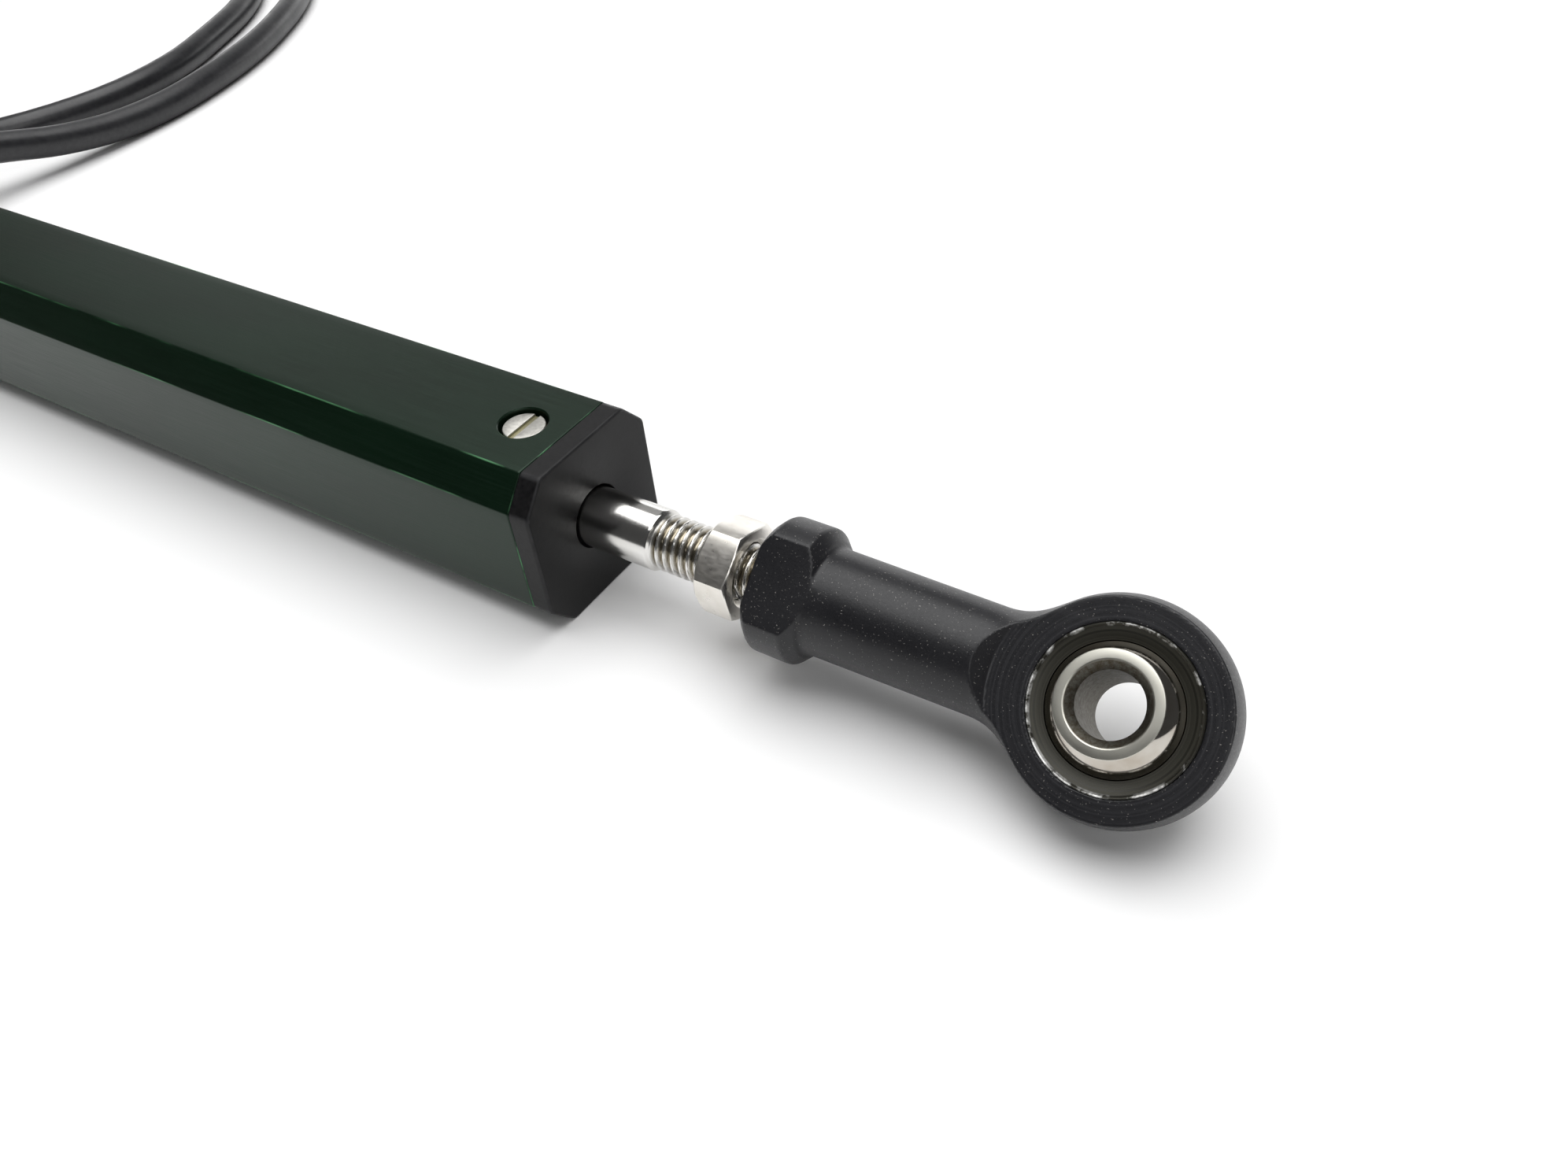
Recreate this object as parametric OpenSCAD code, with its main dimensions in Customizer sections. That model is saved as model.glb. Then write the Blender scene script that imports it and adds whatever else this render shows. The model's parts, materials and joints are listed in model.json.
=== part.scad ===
// Rod-type linear position transducer with a ball-jointed rod end at each end.
// Millimetres. Origin: centre of the rear eye. +X runs along the rod to the front eye, +Z is up,
// and the whole object stands on the plane z = -profile_size / 2. The rod is drawn retracted.

/* [Housing] */
// Width and height of the square section
profile_size = 16; // [14:0.5:20]
// Width of each corner chamfer, across the section
chamfer_y = 2.45; // [1.5:0.05:3]
// Height of each corner chamfer
chamfer_z = 2.75; // [1.5:0.05:3]
// Length of the extruded tube
profile_len = 128; // [120:1:200]
// Width and height of the space inside the tube
cavity_size = 13; // [12.6:0.1:13.2]
// Thickness of the front cover plate
plate_t = 2.1; // [1.5:0.1:4]
// Length of the rear end block outside the tube
block_len = 16; // [14:0.5:24]

/* [Rod] */
// Diameter of the sliding rod
rod_d = 5.5; // [5:0.1:6]
// Electrical stroke
stroke = 75; // [25:1:75]
// Smooth rod in front of the cover plate when retracted
rod_showing = 7.35; // [5:0.05:20]
// Thread diameter of the rod and studs
thread_d = 5; // [5:0.5:5]
// Thread pitch
pitch = 0.8; // [0.8:0.1:1]
// Thread left bare between rod shoulder and rod end
thread_bare = 10.9; // [8:0.1:16]
// Place of the front lock nut, from the rod shoulder
nut_place = 5.65; // [1:0.05:7]
// Turn of the front lock nut about the rod
nut_turn = 10.9; // [-30:0.1:30]

/* [Rod ends] */
// Diameter of the bearing's bore
eye_bore = 5; // [5:1:5]
// Diameter of the ball
ball_d = 11.112; // [11:0.001:11.2]
// Width of the ball between its flats
ball_w = 8; // [7:0.1:8]
// Outer diameter of the front head
head_d = 17; // [16:0.1:17]
// Outer diameter of the rear head, which stands on the floor
rear_head_d = 16; // [15:0.1:16]
// Thickness of the head
head_t = 6; // [5.5:0.1:6.5]
// Distance from the eye to the threaded end of the shank
shank_len = 29.4; // [27:0.1:34]
// Diameter of the shank's collar
collar_d = 11.6; // [11:0.1:13]
// Length of the collar
collar_len = 4.95; // [4:0.05:7]
// Distance across the collar's two flats
flats = 9; // [8:0.1:10]
// Neck diameter beside the collar
neck_d = 9.1; // [8.5:0.1:10]
// Turn of the front head about the rod
front_roll = 43.5; // [0:0.5:90]
// Lean of the front ball about the rod's axis
ball_lean = -4.8; // [-8:0.1:8]
// Lean of the front ball across the rod's axis
ball_tip = -4.7; // [-8:0.1:8]

/* [Lock nuts] */
// Distance across the nut's flats
nut_flats = 8; // [8:0.5:9]
// Height of the nut
nut_h = 3.2; // [2.7:0.1:4]

/* [Cable] */
// Diameter of the cable
cable_d = 4.5; // [4:0.1:5]

/* [Hidden] */

$fn = 64;
half = profile_size / 2;
floor_z = -half;
run_gap = 0.05;                                    // radial clearance of every running fit
eps = 0.01;

// Stations along X
nut_x = shank_len;                                 // rear lock nut, hard against the rear shank
block_x = nut_x + nut_h;
profile_x = block_x + block_len;
plate_x = profile_x + profile_len;
face_x = plate_x + plate_t;                        // outer face of the front cover plate
shoulder_x = face_x + rod_showing;                 // where the rod steps down to its thread
shank_x = shoulder_x + thread_bare;                // threaded end of the front rod end
eye_x = shank_x + shank_len;                       // centre of the front eye

// Ends
front_plug = 18;
rear_plug = 6;
plug_gap = 0.05;
plug_size = cavity_size - 2 * plug_gap;
bumper_t = 2.5;
bush_d = 8;
hole_d = 5.85;                                     // rod's hole through the cover plate
seal_d = 9.6;
seal_t = 2.5;
chamber_x = block_x + 4.6;                         // wiring chamber in the rear block
chamber_size = 9;
gland_x = block_x + 8.1;
gland_hole_d = 5.2;
gland_len = 16.5;
gland_flange_d = 8;
gland_flange_t = 1.6;
gland_end = 21.5;                                  // where the cable's jacket starts, inside the gland

// Cap screws, slotted cheese heads sunk in counterbores
screw_x_front = plate_x - 4.4;
screw_x_rear = block_x + block_len + 3;
screw_head_d = 3.8;
screw_head_t = 1.3;
screw_d = 2;
screw_len = 2.1;                                    // stops short of the bush
screw_sink = 0.35;                                 // head top below the face
sink_d = 4.4;
slot_w = 0.6;
slot_t = 0.6;

// Sensing element
board_w = 13.4;
board_t = 1.2;
board_z = -5.6;                                    // underside of the board
board_len = profile_len - front_plug - rear_plug - 1;
board_x = profile_x + rear_plug + 0.5;
track_t = 0.1;
track_w = 2.4;
track_y = 3;
track_len = board_len - 8;

// Carriage and the rod's tail
carriage_len = 20;
carriage_x = profile_x + rear_plug + bumper_t + 2;
carriage_gap = 0.3;
tail_d = 4;
clip_t = 0.6;
clip_d = 7.6;
wiper_t = 0.2;
wiper_w = 1.8;

// Rod ends
race_d = 12.4;
race_w = 6.1;
step_r = 9.2;                                      // radius round the eye where the neck starts to rise
step_rise = 3.4;                                   // how far the rising step spreads in 4 mm of height
neck_head_d = 8.7;
head_crown = 0.45;                                 // how much smaller the head's faces are than its middle

// Cable's route: where it is not coiled, points on its centre line
cable_r = cable_d / 2;
lie_z = floor_z + cable_r;
ROUTE = [
    [40.7, 22, 0], [41.3, 29, -1.8], [42.3, 37, -3.8], [42.6, 46, -5.2], [42, 56, lie_z],
    [40, 66, lie_z], [36, 78, lie_z], [30, 90, lie_z], [21.5, 103, lie_z], [11, 114, lie_z],
    [-3, 122, lie_z], [-20, 125, lie_z], [-37, 121, lie_z], [-51, 111, lie_z], [-62, 97, lie_z],
    [-70, 80, lie_z], [-74, 62, lie_z], [-75, 44, lie_z], [-73, 26, lie_z], [-67, 9, lie_z],
    [-56, -5, lie_z], [-41, -12.5, lie_z], [-26, -11, lie_z], [-14, -2, lie_z], [-5, 9, lie_z],
    [5, 18, lie_z], [15.5, 27, lie_z], [25, 38, lie_z], [29.5, 53, lie_z], [28, 68, lie_z],
    [22, 82, lie_z], [14, 96, lie_z], [4, 107, lie_z], [-9, 115, lie_z], [-25, 116, lie_z],
    [-40, 109, lie_z], [-52, 97, lie_z], [-60, 82, lie_z], [-64, 64, lie_z], [-65, 45, lie_z],
    [-64.5, 25, lie_z]
];

// Coil that the rest of the cable is wound into
coil_x = -38;
coil_y = 25;
coil_r = 24.25;                                    // middle of its turns
top_from = 120;                                    // the part turn on top of the others, in degrees
top_to = 367.3;
tie_w = 3.6;
tie_t = 1;

// Free ends of the three conductors
wire_d = 1.1;
wire_arc = 62;                                     // how far they follow the coil, in degrees

// ---------- shared shapes ----------

// Turns a shape drawn in X, Y and extruded along Z so that it lies across the rod and runs along +X
module along_x(x) { translate([x, 0, 0]) rotate([90, 0, 90]) children(); }

// Turns a shape made round Z so that it is made round X
module round_x(x) { translate([x, 0, 0]) rotate([0, 90, 0]) children(); }

// Square with its four corners cut, cut_a across and cut_b up
module chamfered(size, cut_a, cut_b) {
    h = size / 2;
    polygon([[h - cut_a, h], [h, h - cut_b], [h, cut_b - h], [h - cut_a, -h],
        [cut_a - h, -h], [-h, cut_b - h], [-h, h - cut_b], [cut_a - h, h]]);
}

module section() { chamfered(profile_size, chamfer_y, chamfer_z); }

module plug(x, length) { along_x(x) linear_extrude(length) chamfered(plug_size, 2.2, 2.4); }

// Profile of a thread seen from its axis: [radius, height] points of crests and roots
function thread_edge(z0, z1) =
    [for (k = [0 : floor((z1 - z0) / pitch) - 1]) each [
        [thread_d / 2, z0 + (k + 0.20) * pitch],
        [thread_d / 2 - 0.43, z0 + (k + 0.60) * pitch],
        [thread_d / 2, z0 + (k + 1.00) * pitch]]];

module hex_nut() {
    difference() {
        intersection() {
            cylinder(h = nut_h, d = nut_flats / cos(30), $fn = 6);
            // Round bevels on the corners of both faces
            rotate_extrude($fn = 48) polygon([[0, 0], [nut_flats / 2 - 0.1, 0], [nut_flats / 2 + 0.75, 0.5],
                [nut_flats / 2 + 0.75, nut_h - 0.5], [nut_flats / 2 - 0.1, nut_h], [0, nut_h]]);
        }
        translate([0, 0, -1]) cylinder(h = nut_h + 2, d = thread_d + 2 * run_gap);
        translate([0, 0, -eps]) cylinder(h = 0.4, r1 = thread_d / 2 + 0.45, r2 = thread_d / 2 + run_gap);
        translate([0, 0, nut_h - 0.4 + eps]) cylinder(h = 0.4, r1 = thread_d / 2 + run_gap, r2 = thread_d / 2 + 0.45);
    }
}

// Rod end round its eye at the origin, its shank towards -X and its bore along Z
module rod_end_body(head) {
    difference() {
        union() {
            rotate_extrude() polygon([[0, -head_t / 2], [head / 2 - head_crown, -head_t / 2],
                [head / 2 - head_crown / 4, -head_t / 4], [head / 2, 0], [head / 2 - head_crown / 4, head_t / 4],
                [head / 2 - head_crown, head_t / 2], [0, head_t / 2]]);
            difference() {
                union() {
                    round_x(-shank_len + collar_len - 0.5)
                        cylinder(h = shank_len - collar_len - 4.5, d1 = neck_d, d2 = neck_head_d);
                    collar();
                }
                for (turn = [0, 180])
                    rotate([turn, 0, 0]) translate([0, 0, head_t / 2])
                        cylinder(h = 4, r1 = step_r, r2 = step_r + step_rise);
            }
        }
        cylinder(h = 2 * head_t, d = race_d, center = true);
        round_x(-shank_len - 1) cylinder(h = 15, d = thread_d);
    }
}

// Wrench collar with bevelled ends and two flats square to the bore
module collar() {
    intersection() {
        round_x(-shank_len) rotate_extrude() polygon([[0, 0], [collar_d / 2 - 0.7, 0], [collar_d / 2, 0.7],
            [collar_d / 2, collar_len - 0.7], [collar_d / 2 - 0.9, collar_len], [0, collar_len]]);
        cube([4 * shank_len, 2 * collar_d, flats], center = true);
    }
}

module race_ring() {
    difference() {
        cylinder(h = race_w, d = race_d, center = true);
        sphere(d = ball_d + 2 * run_gap);
    }
}

module eye_ball() {
    difference() {
        intersection() {
            sphere(d = ball_d);
            cylinder(h = ball_w, d = 2 * ball_d, center = true);
        }
        cylinder(h = 2 * ball_w, d = eye_bore, center = true);
        for (side = [0, 1]) mirror([0, 0, side])
            translate([0, 0, ball_w / 2 - 0.65]) cylinder(h = 0.75, r1 = eye_bore / 2, r2 = eye_bore / 2 + 0.75);
    }
}

module at_front_eye() { translate([eye_x, 0, 0]) rotate([front_roll, 0, 0]) children(); }

module at_rear_eye() { mirror([1, 0, 0]) rotate([90, 0, 0]) children(); }

// ---------- housing ----------

module housing_profile() {
    color("darkolivegreen") difference() {
        along_x(profile_x) linear_extrude(profile_len) section();
        along_x(profile_x - 1) linear_extrude(profile_len + 2) chamfered(cavity_size, 2.2, 2.4);
        // Grooves that hold the element board's two edges
        translate([profile_x - 1, -board_w / 2 - 0.1, board_z - 0.05])
            cube([profile_len + 2, board_w + 0.2, board_t + 0.1]);
        screw_places() {
            cylinder(h = 4, d = screw_d + 0.4, center = true);
            translate([0, 0, -screw_sink - screw_head_t]) cylinder(h = 3, d = sink_d);
        }
    }
}

// Puts its children on the top and bottom faces at both ends, +Z pointing out of the face
module screw_places() {
    for (x = [screw_x_front, screw_x_rear], turn = [0, 180])
        translate([x, 0, 0]) rotate([turn, 0, 0]) translate([0, 0, half]) children();
}

module front_cap() {
    color([0.06, 0.07, 0.07]) difference() {
        union() {
            along_x(plate_x) linear_extrude(plate_t) section();
            plug(plate_x - front_plug, front_plug + eps);
        }
        round_x(plate_x - front_plug - 1) cylinder(h = front_plug + plate_t + 2, d = hole_d);
        round_x(plate_x - front_plug - 1) cylinder(h = front_plug - seal_t + 1, d = bush_d);
        round_x(plate_x - seal_t) cylinder(h = seal_t + 0.6, d = seal_d);
        screw_places() translate([0, 0, -6]) cylinder(h = 12, d = screw_d, center = true);
        screw_places() translate([0, 0, -screw_sink - screw_head_t]) cylinder(h = 3, d = sink_d);
    }
}

module rear_block() {
    color([0.06, 0.07, 0.07]) difference() {
        union() {
            along_x(block_x) linear_extrude(block_len) section();
            plug(profile_x - eps, rear_plug + eps);
        }
        // Wiring chamber, open to the tube
        translate([chamber_x, -chamber_size / 2, -chamber_size / 2])
            cube([profile_x + rear_plug + 1 - chamber_x, chamber_size, chamber_size]);
        round_x(block_x - 1) cylinder(h = chamber_x - block_x + 2, d = thread_d);
        translate([gland_x, 0, 0]) rotate([-90, 0, 0]) cylinder(h = half + 1, d = gland_hole_d);
        screw_places() translate([0, 0, -3.6]) cylinder(h = 3.8, d = screw_d, center = true);
        screw_places() translate([0, 0, -screw_sink - screw_head_t]) cylinder(h = 3, d = sink_d);
    }
}

module front_bush() {
    color("darkgoldenrod") round_x(plate_x - front_plug + 0.2) difference() {
        cylinder(h = front_plug - seal_t - 0.4, d = bush_d);
        translate([0, 0, -1]) cylinder(h = front_plug, d = rod_d + 2 * run_gap);
    }
}

module rod_seal() {
    color([0.1, 0.1, 0.1]) round_x(plate_x - seal_t) rotate_extrude() polygon([
        [rod_d / 2 + run_gap, 1.4], [rod_d / 2 + 0.6, 0], [seal_d / 2, 0], [seal_d / 2, seal_t],
        [rod_d / 2 + 1, seal_t], [rod_d / 2 + run_gap, 2]]);
}

module front_bumper() {
    color([0.12, 0.12, 0.12]) round_x(plate_x - front_plug - bumper_t) difference() {
        cylinder(h = bumper_t, d = 8.4);
        translate([0, 0, -1]) cylinder(h = bumper_t + 2, d = rod_d + 1);
    }
}

// Frame round the wires, open below where the board's end lies
module rear_bumper() {
    color([0.12, 0.12, 0.12]) along_x(profile_x + rear_plug) linear_extrude(bumper_t) difference() {
        chamfered(10.8, 1.6, 1.6);
        square(9, center = true);
        translate([-profile_size / 2, -profile_size - 4]) square(profile_size);
    }
}

module cap_screws() {
    color([0.82, 0.82, 0.78]) screw_places() translate([0, 0, -screw_sink]) difference() {
        union() {
            translate([0, 0, -screw_head_t]) rotate_extrude() polygon([[0, 0], [screw_head_d / 2, 0],
                [screw_head_d / 2, screw_head_t - 0.15], [screw_head_d / 2 - 0.15, screw_head_t], [0, screw_head_t]]);
            translate([0, 0, -screw_head_t - screw_len + eps]) cylinder(h = screw_len, d = screw_d);
        }
        cube([slot_w, 2 * screw_head_d, 2 * slot_t], center = true);
    }
}

// ---------- sensing element ----------

module element_board() {
    color("saddlebrown") translate([board_x, -board_w / 2, board_z]) cube([board_len, board_w, board_t]);
}

module track(y) {
    translate([board_x + 4, y - track_w / 2, board_z + board_t]) cube([track_len, track_w, track_t]);
}

module resistive_track() { color([0.08, 0.08, 0.09]) track(-track_y); }

module collector_track() { color("goldenrod") track(track_y); }

// Three conductors, soldered to the board's rear end and led through the chamber into the cable
module lead_wires() {
    for (k = [-1, 0, 1]) color(k < 0 ? "firebrick" : k > 0 ? "black" : "whitesmoke")
        tube([[board_x + 2.4, 3.4 * k, board_z + board_t + wire_d / 2], [board_x, 3.3 * k, board_z + board_t + 0.9],
            [board_x - 4, 2.4 * k, -2.5], [gland_x + 8, 1.6 * k, -1.2], [gland_x + 4 + 0.8 * k, 1 + 1.1 * k, -0.5],
            [gland_x + 1 + 1.3 * k, 4, -0.2], [gland_x + 1.3 * k, 7.5, 0], [gland_x + 1.3 * k, 12, 0],
            [gland_x + 1.3 * k, gland_end, 0]], wire_d / 2, 2, 8);
}

// ---------- moving parts ----------

module actuator_rod() {
    tail = clip_t + 1.1;                           // from the carriage's rear face to the rod's end
    body_x = carriage_x + carriage_len + 0.15;
    color([0.8, 0.8, 0.82]) round_x(carriage_x - tail) rotate_extrude() polygon(concat(
        [[0, 0], [tail_d / 2 - 0.3, 0], [tail_d / 2, 0.3], [tail_d / 2, body_x - carriage_x + tail],
            [rod_d / 2, body_x - carriage_x + tail],
            [rod_d / 2, shoulder_x - 0.3 - carriage_x + tail],
            [thread_d / 2, shoulder_x - carriage_x + tail]],
        thread_edge(shoulder_x - carriage_x + tail, shank_x - 0.6 - carriage_x + tail),
        [[thread_d / 2, shank_x - carriage_x + tail],
            [thread_d / 2, shank_x + 11.5 - carriage_x + tail],
            [thread_d / 2 - 0.5, shank_x + 12 - carriage_x + tail],
            [0, shank_x + 12 - carriage_x + tail]]));
}

module retaining_clip() {
    color([0.35, 0.35, 0.37]) round_x(carriage_x - 0.15 - clip_t) difference() {
        cylinder(h = clip_t, d = clip_d);
        translate([0, 0, -1]) cylinder(h = clip_t + 2, d = tail_d);
    }
}

module carriage() {
    wide = cavity_size - 2 * carriage_gap;
    low = board_z + board_t + track_t + 1.2;
    color([0.88, 0.87, 0.82]) difference() {
        intersection() {
            along_x(carriage_x) linear_extrude(carriage_len) chamfered(wide, 2.3, 2.5);
            translate([0, -half, low]) cube([2 * face_x, profile_size, half - low]);
        }
        round_x(carriage_x - 1) cylinder(h = carriage_len + 2, d = tail_d + 2 * run_gap);
        // Pockets that lighten the block above the rod
        for (side = [-1, 1]) translate([carriage_x + 3, side * 4.2 - 1, 3]) cube([carriage_len - 6, 2, half]);
    }
}

// Two bent leaf springs under the carriage, one over each track
module wiper_springs() {
    low = board_z + board_t + track_t + 1.2;
    color("gold") for (side = [-1, 1])
        translate([carriage_x + 4, side * track_y + wiper_w / 2, low]) rotate([90, 0, 0])
            linear_extrude(wiper_w) polygon([[0, 0], [5, 0], [11, -1.05], [12.2, -0.75], [12.2, -0.55],
                [11, -0.85], [5.1, wiper_t], [0, wiper_t]]);
}

module front_lock_nut() {
    color([0.75, 0.73, 0.68]) translate([shoulder_x + nut_place, 0, 0]) rotate([nut_turn, 0, 0])
        rotate([0, 90, 0]) hex_nut();
}

module front_rod_end() { color([0.05, 0.05, 0.05]) at_front_eye() rod_end_body(head_d); }

module front_race() { color([0.42, 0.41, 0.36]) at_front_eye() race_ring(); }

module front_ball() {
    color([0.75, 0.75, 0.76]) at_front_eye() rotate([ball_lean, 0, 0]) rotate([0, ball_tip, 0]) eye_ball();
}

// ---------- rear mounting ----------

module rear_stud() {
    color([0.75, 0.73, 0.68]) round_x(shank_len - 12) {
        cylinder(h = chamber_x - shank_len + 12, d = thread_d);
        translate([0, 0, chamber_x - shank_len + 12]) cylinder(h = 1.4, d = 7.4);
    }
}

module rear_lock_nut() { color([0.75, 0.73, 0.68]) round_x(nut_x) rotate([0, 0, 30]) hex_nut(); }

module rear_rod_end() { color([0.05, 0.05, 0.05]) at_rear_eye() rod_end_body(rear_head_d); }

module rear_race() { color([0.42, 0.41, 0.36]) at_rear_eye() race_ring(); }

module rear_ball() { color([0.75, 0.75, 0.76]) at_rear_eye() eye_ball(); }

// ---------- cable ----------

// Tapered strain relief, with grooves that let it bend
module cable_gland() {
    ribs = 5;
    rib_step = (gland_len - gland_flange_t - 3) / ribs;
    color([0.07, 0.07, 0.07]) translate([gland_x, 0, 0]) rotate([-90, 0, 0]) rotate_extrude() polygon(concat(
        [[cable_r, 4.7], [gland_hole_d / 2, 4.7], [gland_hole_d / 2, half], [gland_flange_d / 2, half],
            [gland_flange_d / 2, half + gland_flange_t - 0.3], [gland_flange_d / 2 - 0.3, half + gland_flange_t]],
        [for (k = [0 : ribs - 1]) each let (y = half + gland_flange_t + 1 + k * rib_step, r = 3.3 - 0.12 * k) [
            [r, y], [r, y + 0.6 * rib_step], [r - 0.45, y + 0.68 * rib_step], [r - 0.45, y + 0.92 * rib_step]]],
        [[2.75, half + gland_len - 1.6], [2.6, half + gland_len - 0.2], [cable_r, half + gland_len]]));
}

// Point on the smooth curve through four route points, at share t between b and c
function blend4(a, b, c, d, t) = 0.5 * (2 * b + (c - a) * t + (2 * a - 5 * b + 4 * c - d) * t * t
    + (3 * b - a - 3 * c + d) * t * t * t);

function unit(v) = v / norm(v);

// Smooth line through the points, with steps stations for each of them
function smooth(p, steps) = let (n = len(p) - 1) concat(
    [for (i = [0 : n - 1], k = [0 : steps - 1])
        blend4(p[max(i - 1, 0)], p[i], p[i + 1], p[min(i + 2, n)], k / steps)],
    [p[n]]);

// Ring of points round station i of a line
function ring(line, i, r, sides) = let (n = len(line) - 1,
    along = unit(line[min(i + 1, n)] - line[max(i - 1, 0)]),
    side = unit(cross(along, [0, 0, 1])), up = cross(side, along))
    [for (k = [0 : sides - 1]) let (a = 360 * (k + 0.5) / sides) line[i] + r * (cos(a) * side + sin(a) * up)];

// Round tube along the smooth line through the points
module tube(points, r, steps, sides) {
    line = smooth(points, steps);
    rings = len(line);
    polyhedron(
        points = [for (i = [0 : rings - 1]) each ring(line, i, r, sides)],
        faces = concat(
            [[for (k = [0 : sides - 1]) k]],
            [[for (k = [0 : sides - 1]) rings * sides - 1 - k]],
            [for (i = [0 : rings - 2], k = [0 : sides - 1]) let (j = (k + 1) % sides)
                [i * sides + k, (i + 1) * sides + k, (i + 1) * sides + j, i * sides + j]]));
}

module signal_cable() { color([0.09, 0.09, 0.1]) tube(ROUTE, cable_r, 2, 10); }

// Two turns side by side, and a part turn on top of them
module cable_coil() {
    color([0.09, 0.09, 0.1]) translate([coil_x, coil_y, floor_z]) {
        rotate_extrude() translate([coil_r - cable_d, 0]) square([2 * cable_d, cable_d]);
        rotate([0, 0, top_from]) rotate_extrude(angle = top_to - top_from)
            translate([coil_r - cable_r, cable_d - eps]) square([cable_d, cable_d + eps]);
    }
}

// Strap wrapped round the coil's bundle on its side away from the object
module cable_tie() {
    bundle = 2 * cable_d;
    color([0.12, 0.12, 0.12]) translate([coil_x, coil_y - coil_r, floor_z]) difference() {
        translate([-tie_w / 2, -bundle / 2 - tie_t, 0]) cube([tie_w, bundle + 2 * tie_t, bundle + tie_t]);
        translate([-tie_w, -bundle / 2 - 0.6, -1]) cube([2 * tie_w, bundle + 1.2, bundle + 1]);
    }
}

// Three bare-ended conductors that leave the cable's end and lie along the two lower turns
module wire_tails() {
    for (k = [-1, 0, 1]) color(k < 0 ? "firebrick" : k > 0 ? "black" : "whitesmoke")
        translate([coil_x, coil_y, floor_z + cable_d + wire_d / 2 + 0.05]) rotate([0, 0, top_to + 0.3])
            rotate_extrude(angle = wire_arc) translate([coil_r + 1.3 * k, 0]) circle(d = wire_d, $fn = 16);
}

housing_profile();
front_cap();
rear_block();
front_bush();
rod_seal();
front_bumper();
rear_bumper();
cap_screws();
element_board();
resistive_track();
collector_track();
lead_wires();
actuator_rod();
retaining_clip();
carriage();
wiper_springs();
front_lock_nut();
front_rod_end();
front_race();
front_ball();
rear_stud();
rear_lock_nut();
rear_rod_end();
rear_race();
rear_ball();
cable_gland();
signal_cable();
cable_coil();
cable_tie();
wire_tails();
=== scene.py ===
"""Looks of the rod-type linear position transducer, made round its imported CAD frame.

Lengths are in millimetres and are turned into metres where a mesh is made. The camera, the floor and the
lights are in metres.
"""
import json
import math

import bmesh
import bpy
import numpy as np
from mathutils import Matrix, Vector


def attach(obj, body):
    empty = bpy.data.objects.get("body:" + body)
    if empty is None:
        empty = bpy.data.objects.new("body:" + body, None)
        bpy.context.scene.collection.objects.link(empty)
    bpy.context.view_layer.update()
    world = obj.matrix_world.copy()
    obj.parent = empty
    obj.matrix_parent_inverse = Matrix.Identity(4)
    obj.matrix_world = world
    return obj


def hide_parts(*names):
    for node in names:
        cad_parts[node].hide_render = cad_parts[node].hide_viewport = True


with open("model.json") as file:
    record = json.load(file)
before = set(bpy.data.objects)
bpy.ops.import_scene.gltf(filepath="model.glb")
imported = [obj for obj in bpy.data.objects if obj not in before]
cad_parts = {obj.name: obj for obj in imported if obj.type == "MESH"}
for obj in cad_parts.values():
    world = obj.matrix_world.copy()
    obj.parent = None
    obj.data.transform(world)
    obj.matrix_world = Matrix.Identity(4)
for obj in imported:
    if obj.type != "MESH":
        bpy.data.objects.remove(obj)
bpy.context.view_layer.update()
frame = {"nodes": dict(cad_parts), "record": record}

# ---------- sizes, in millimetres from the rear eye's centre ----------

MM = 0.001
FLOOR_Z = -8.0

# Section of the housing with its chamfers, the cavity, and the plugs of both end pieces
SIZE, CUT_Y, CUT_Z = 16.0, 2.45, 2.75
CAVITY, PLUG = 13.0, 12.9
INNER_CUT_Y, INNER_CUT_Z = 2.2, 2.4

# Places along X: rear block, housing, cover plate and its face; rod shoulder, front rod end's shank and eye
BLOCK_X, PROFILE_X, PLATE_X, FACE_X = 32.6, 48.6, 176.6, 178.7
SHOULDER_X, SHANK_X, EYE_X = 186.05, 196.95, 226.35
FRONT_PLUG, REAR_PLUG = 18.0, 6.0
SCREW_X = (PLATE_X - 4.4, PROFILE_X + 3)
SCREW_SUNK = 0.35

ROD_R, THREAD_R, PITCH, THREAD_DEPTH = 2.75, 2.5, 0.8, 0.44

# Rod end: its head, the neck, and the collar with its wrench flats, along the shank from the eye's centre
HEAD_HALF, CROWN, SEAT_R, STEP_R = 3.0, 0.45, 6.2, 9.2
HEAD_R = {"front": 8.5, "rear": 8.0}
NECK_R, NECK_TAPER = 4.35, 0.0098
COLLAR_R, COLLAR_START, COLLAR_END = 5.8, -29.4, -24.45
START_BEVEL, END_BEVEL, MOUTH_R = 0.75, 0.9, 3.1
FLAT_HALF, FLAT_END = 4.5, -23.6
TAP_R, TAP_END = 2.52, -15.0
BALL_R, BALL_HALF = 5.556, 4.0

GLAND_X, GLAND_END = 40.7, 24.5
CABLE_D, CABLE_LENGTH = 4.5, 1000.0
LIE_Z = FLOOR_Z + CABLE_D / 2
COIL_X, COIL_Y = -38.0, 25.0
OUTER_R, INNER_R, TOP_R = 26.5, 22.0, 24.25

# ---------- camera ----------

camera = bpy.data.objects.new("camera", bpy.data.cameras.new("camera"))
camera.data.sensor_width = 36
camera.data.lens = 28.066
camera.data.clip_start = 0.005
camera.location = (0.240075, -0.059341, 0.068127)
camera.rotation_euler = [math.radians(a) for a in (46.62585, 3.93044, 31.66934)]
bpy.context.collection.objects.link(camera)
bpy.context.scene.camera = camera


# ---------- finishes ----------

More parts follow.
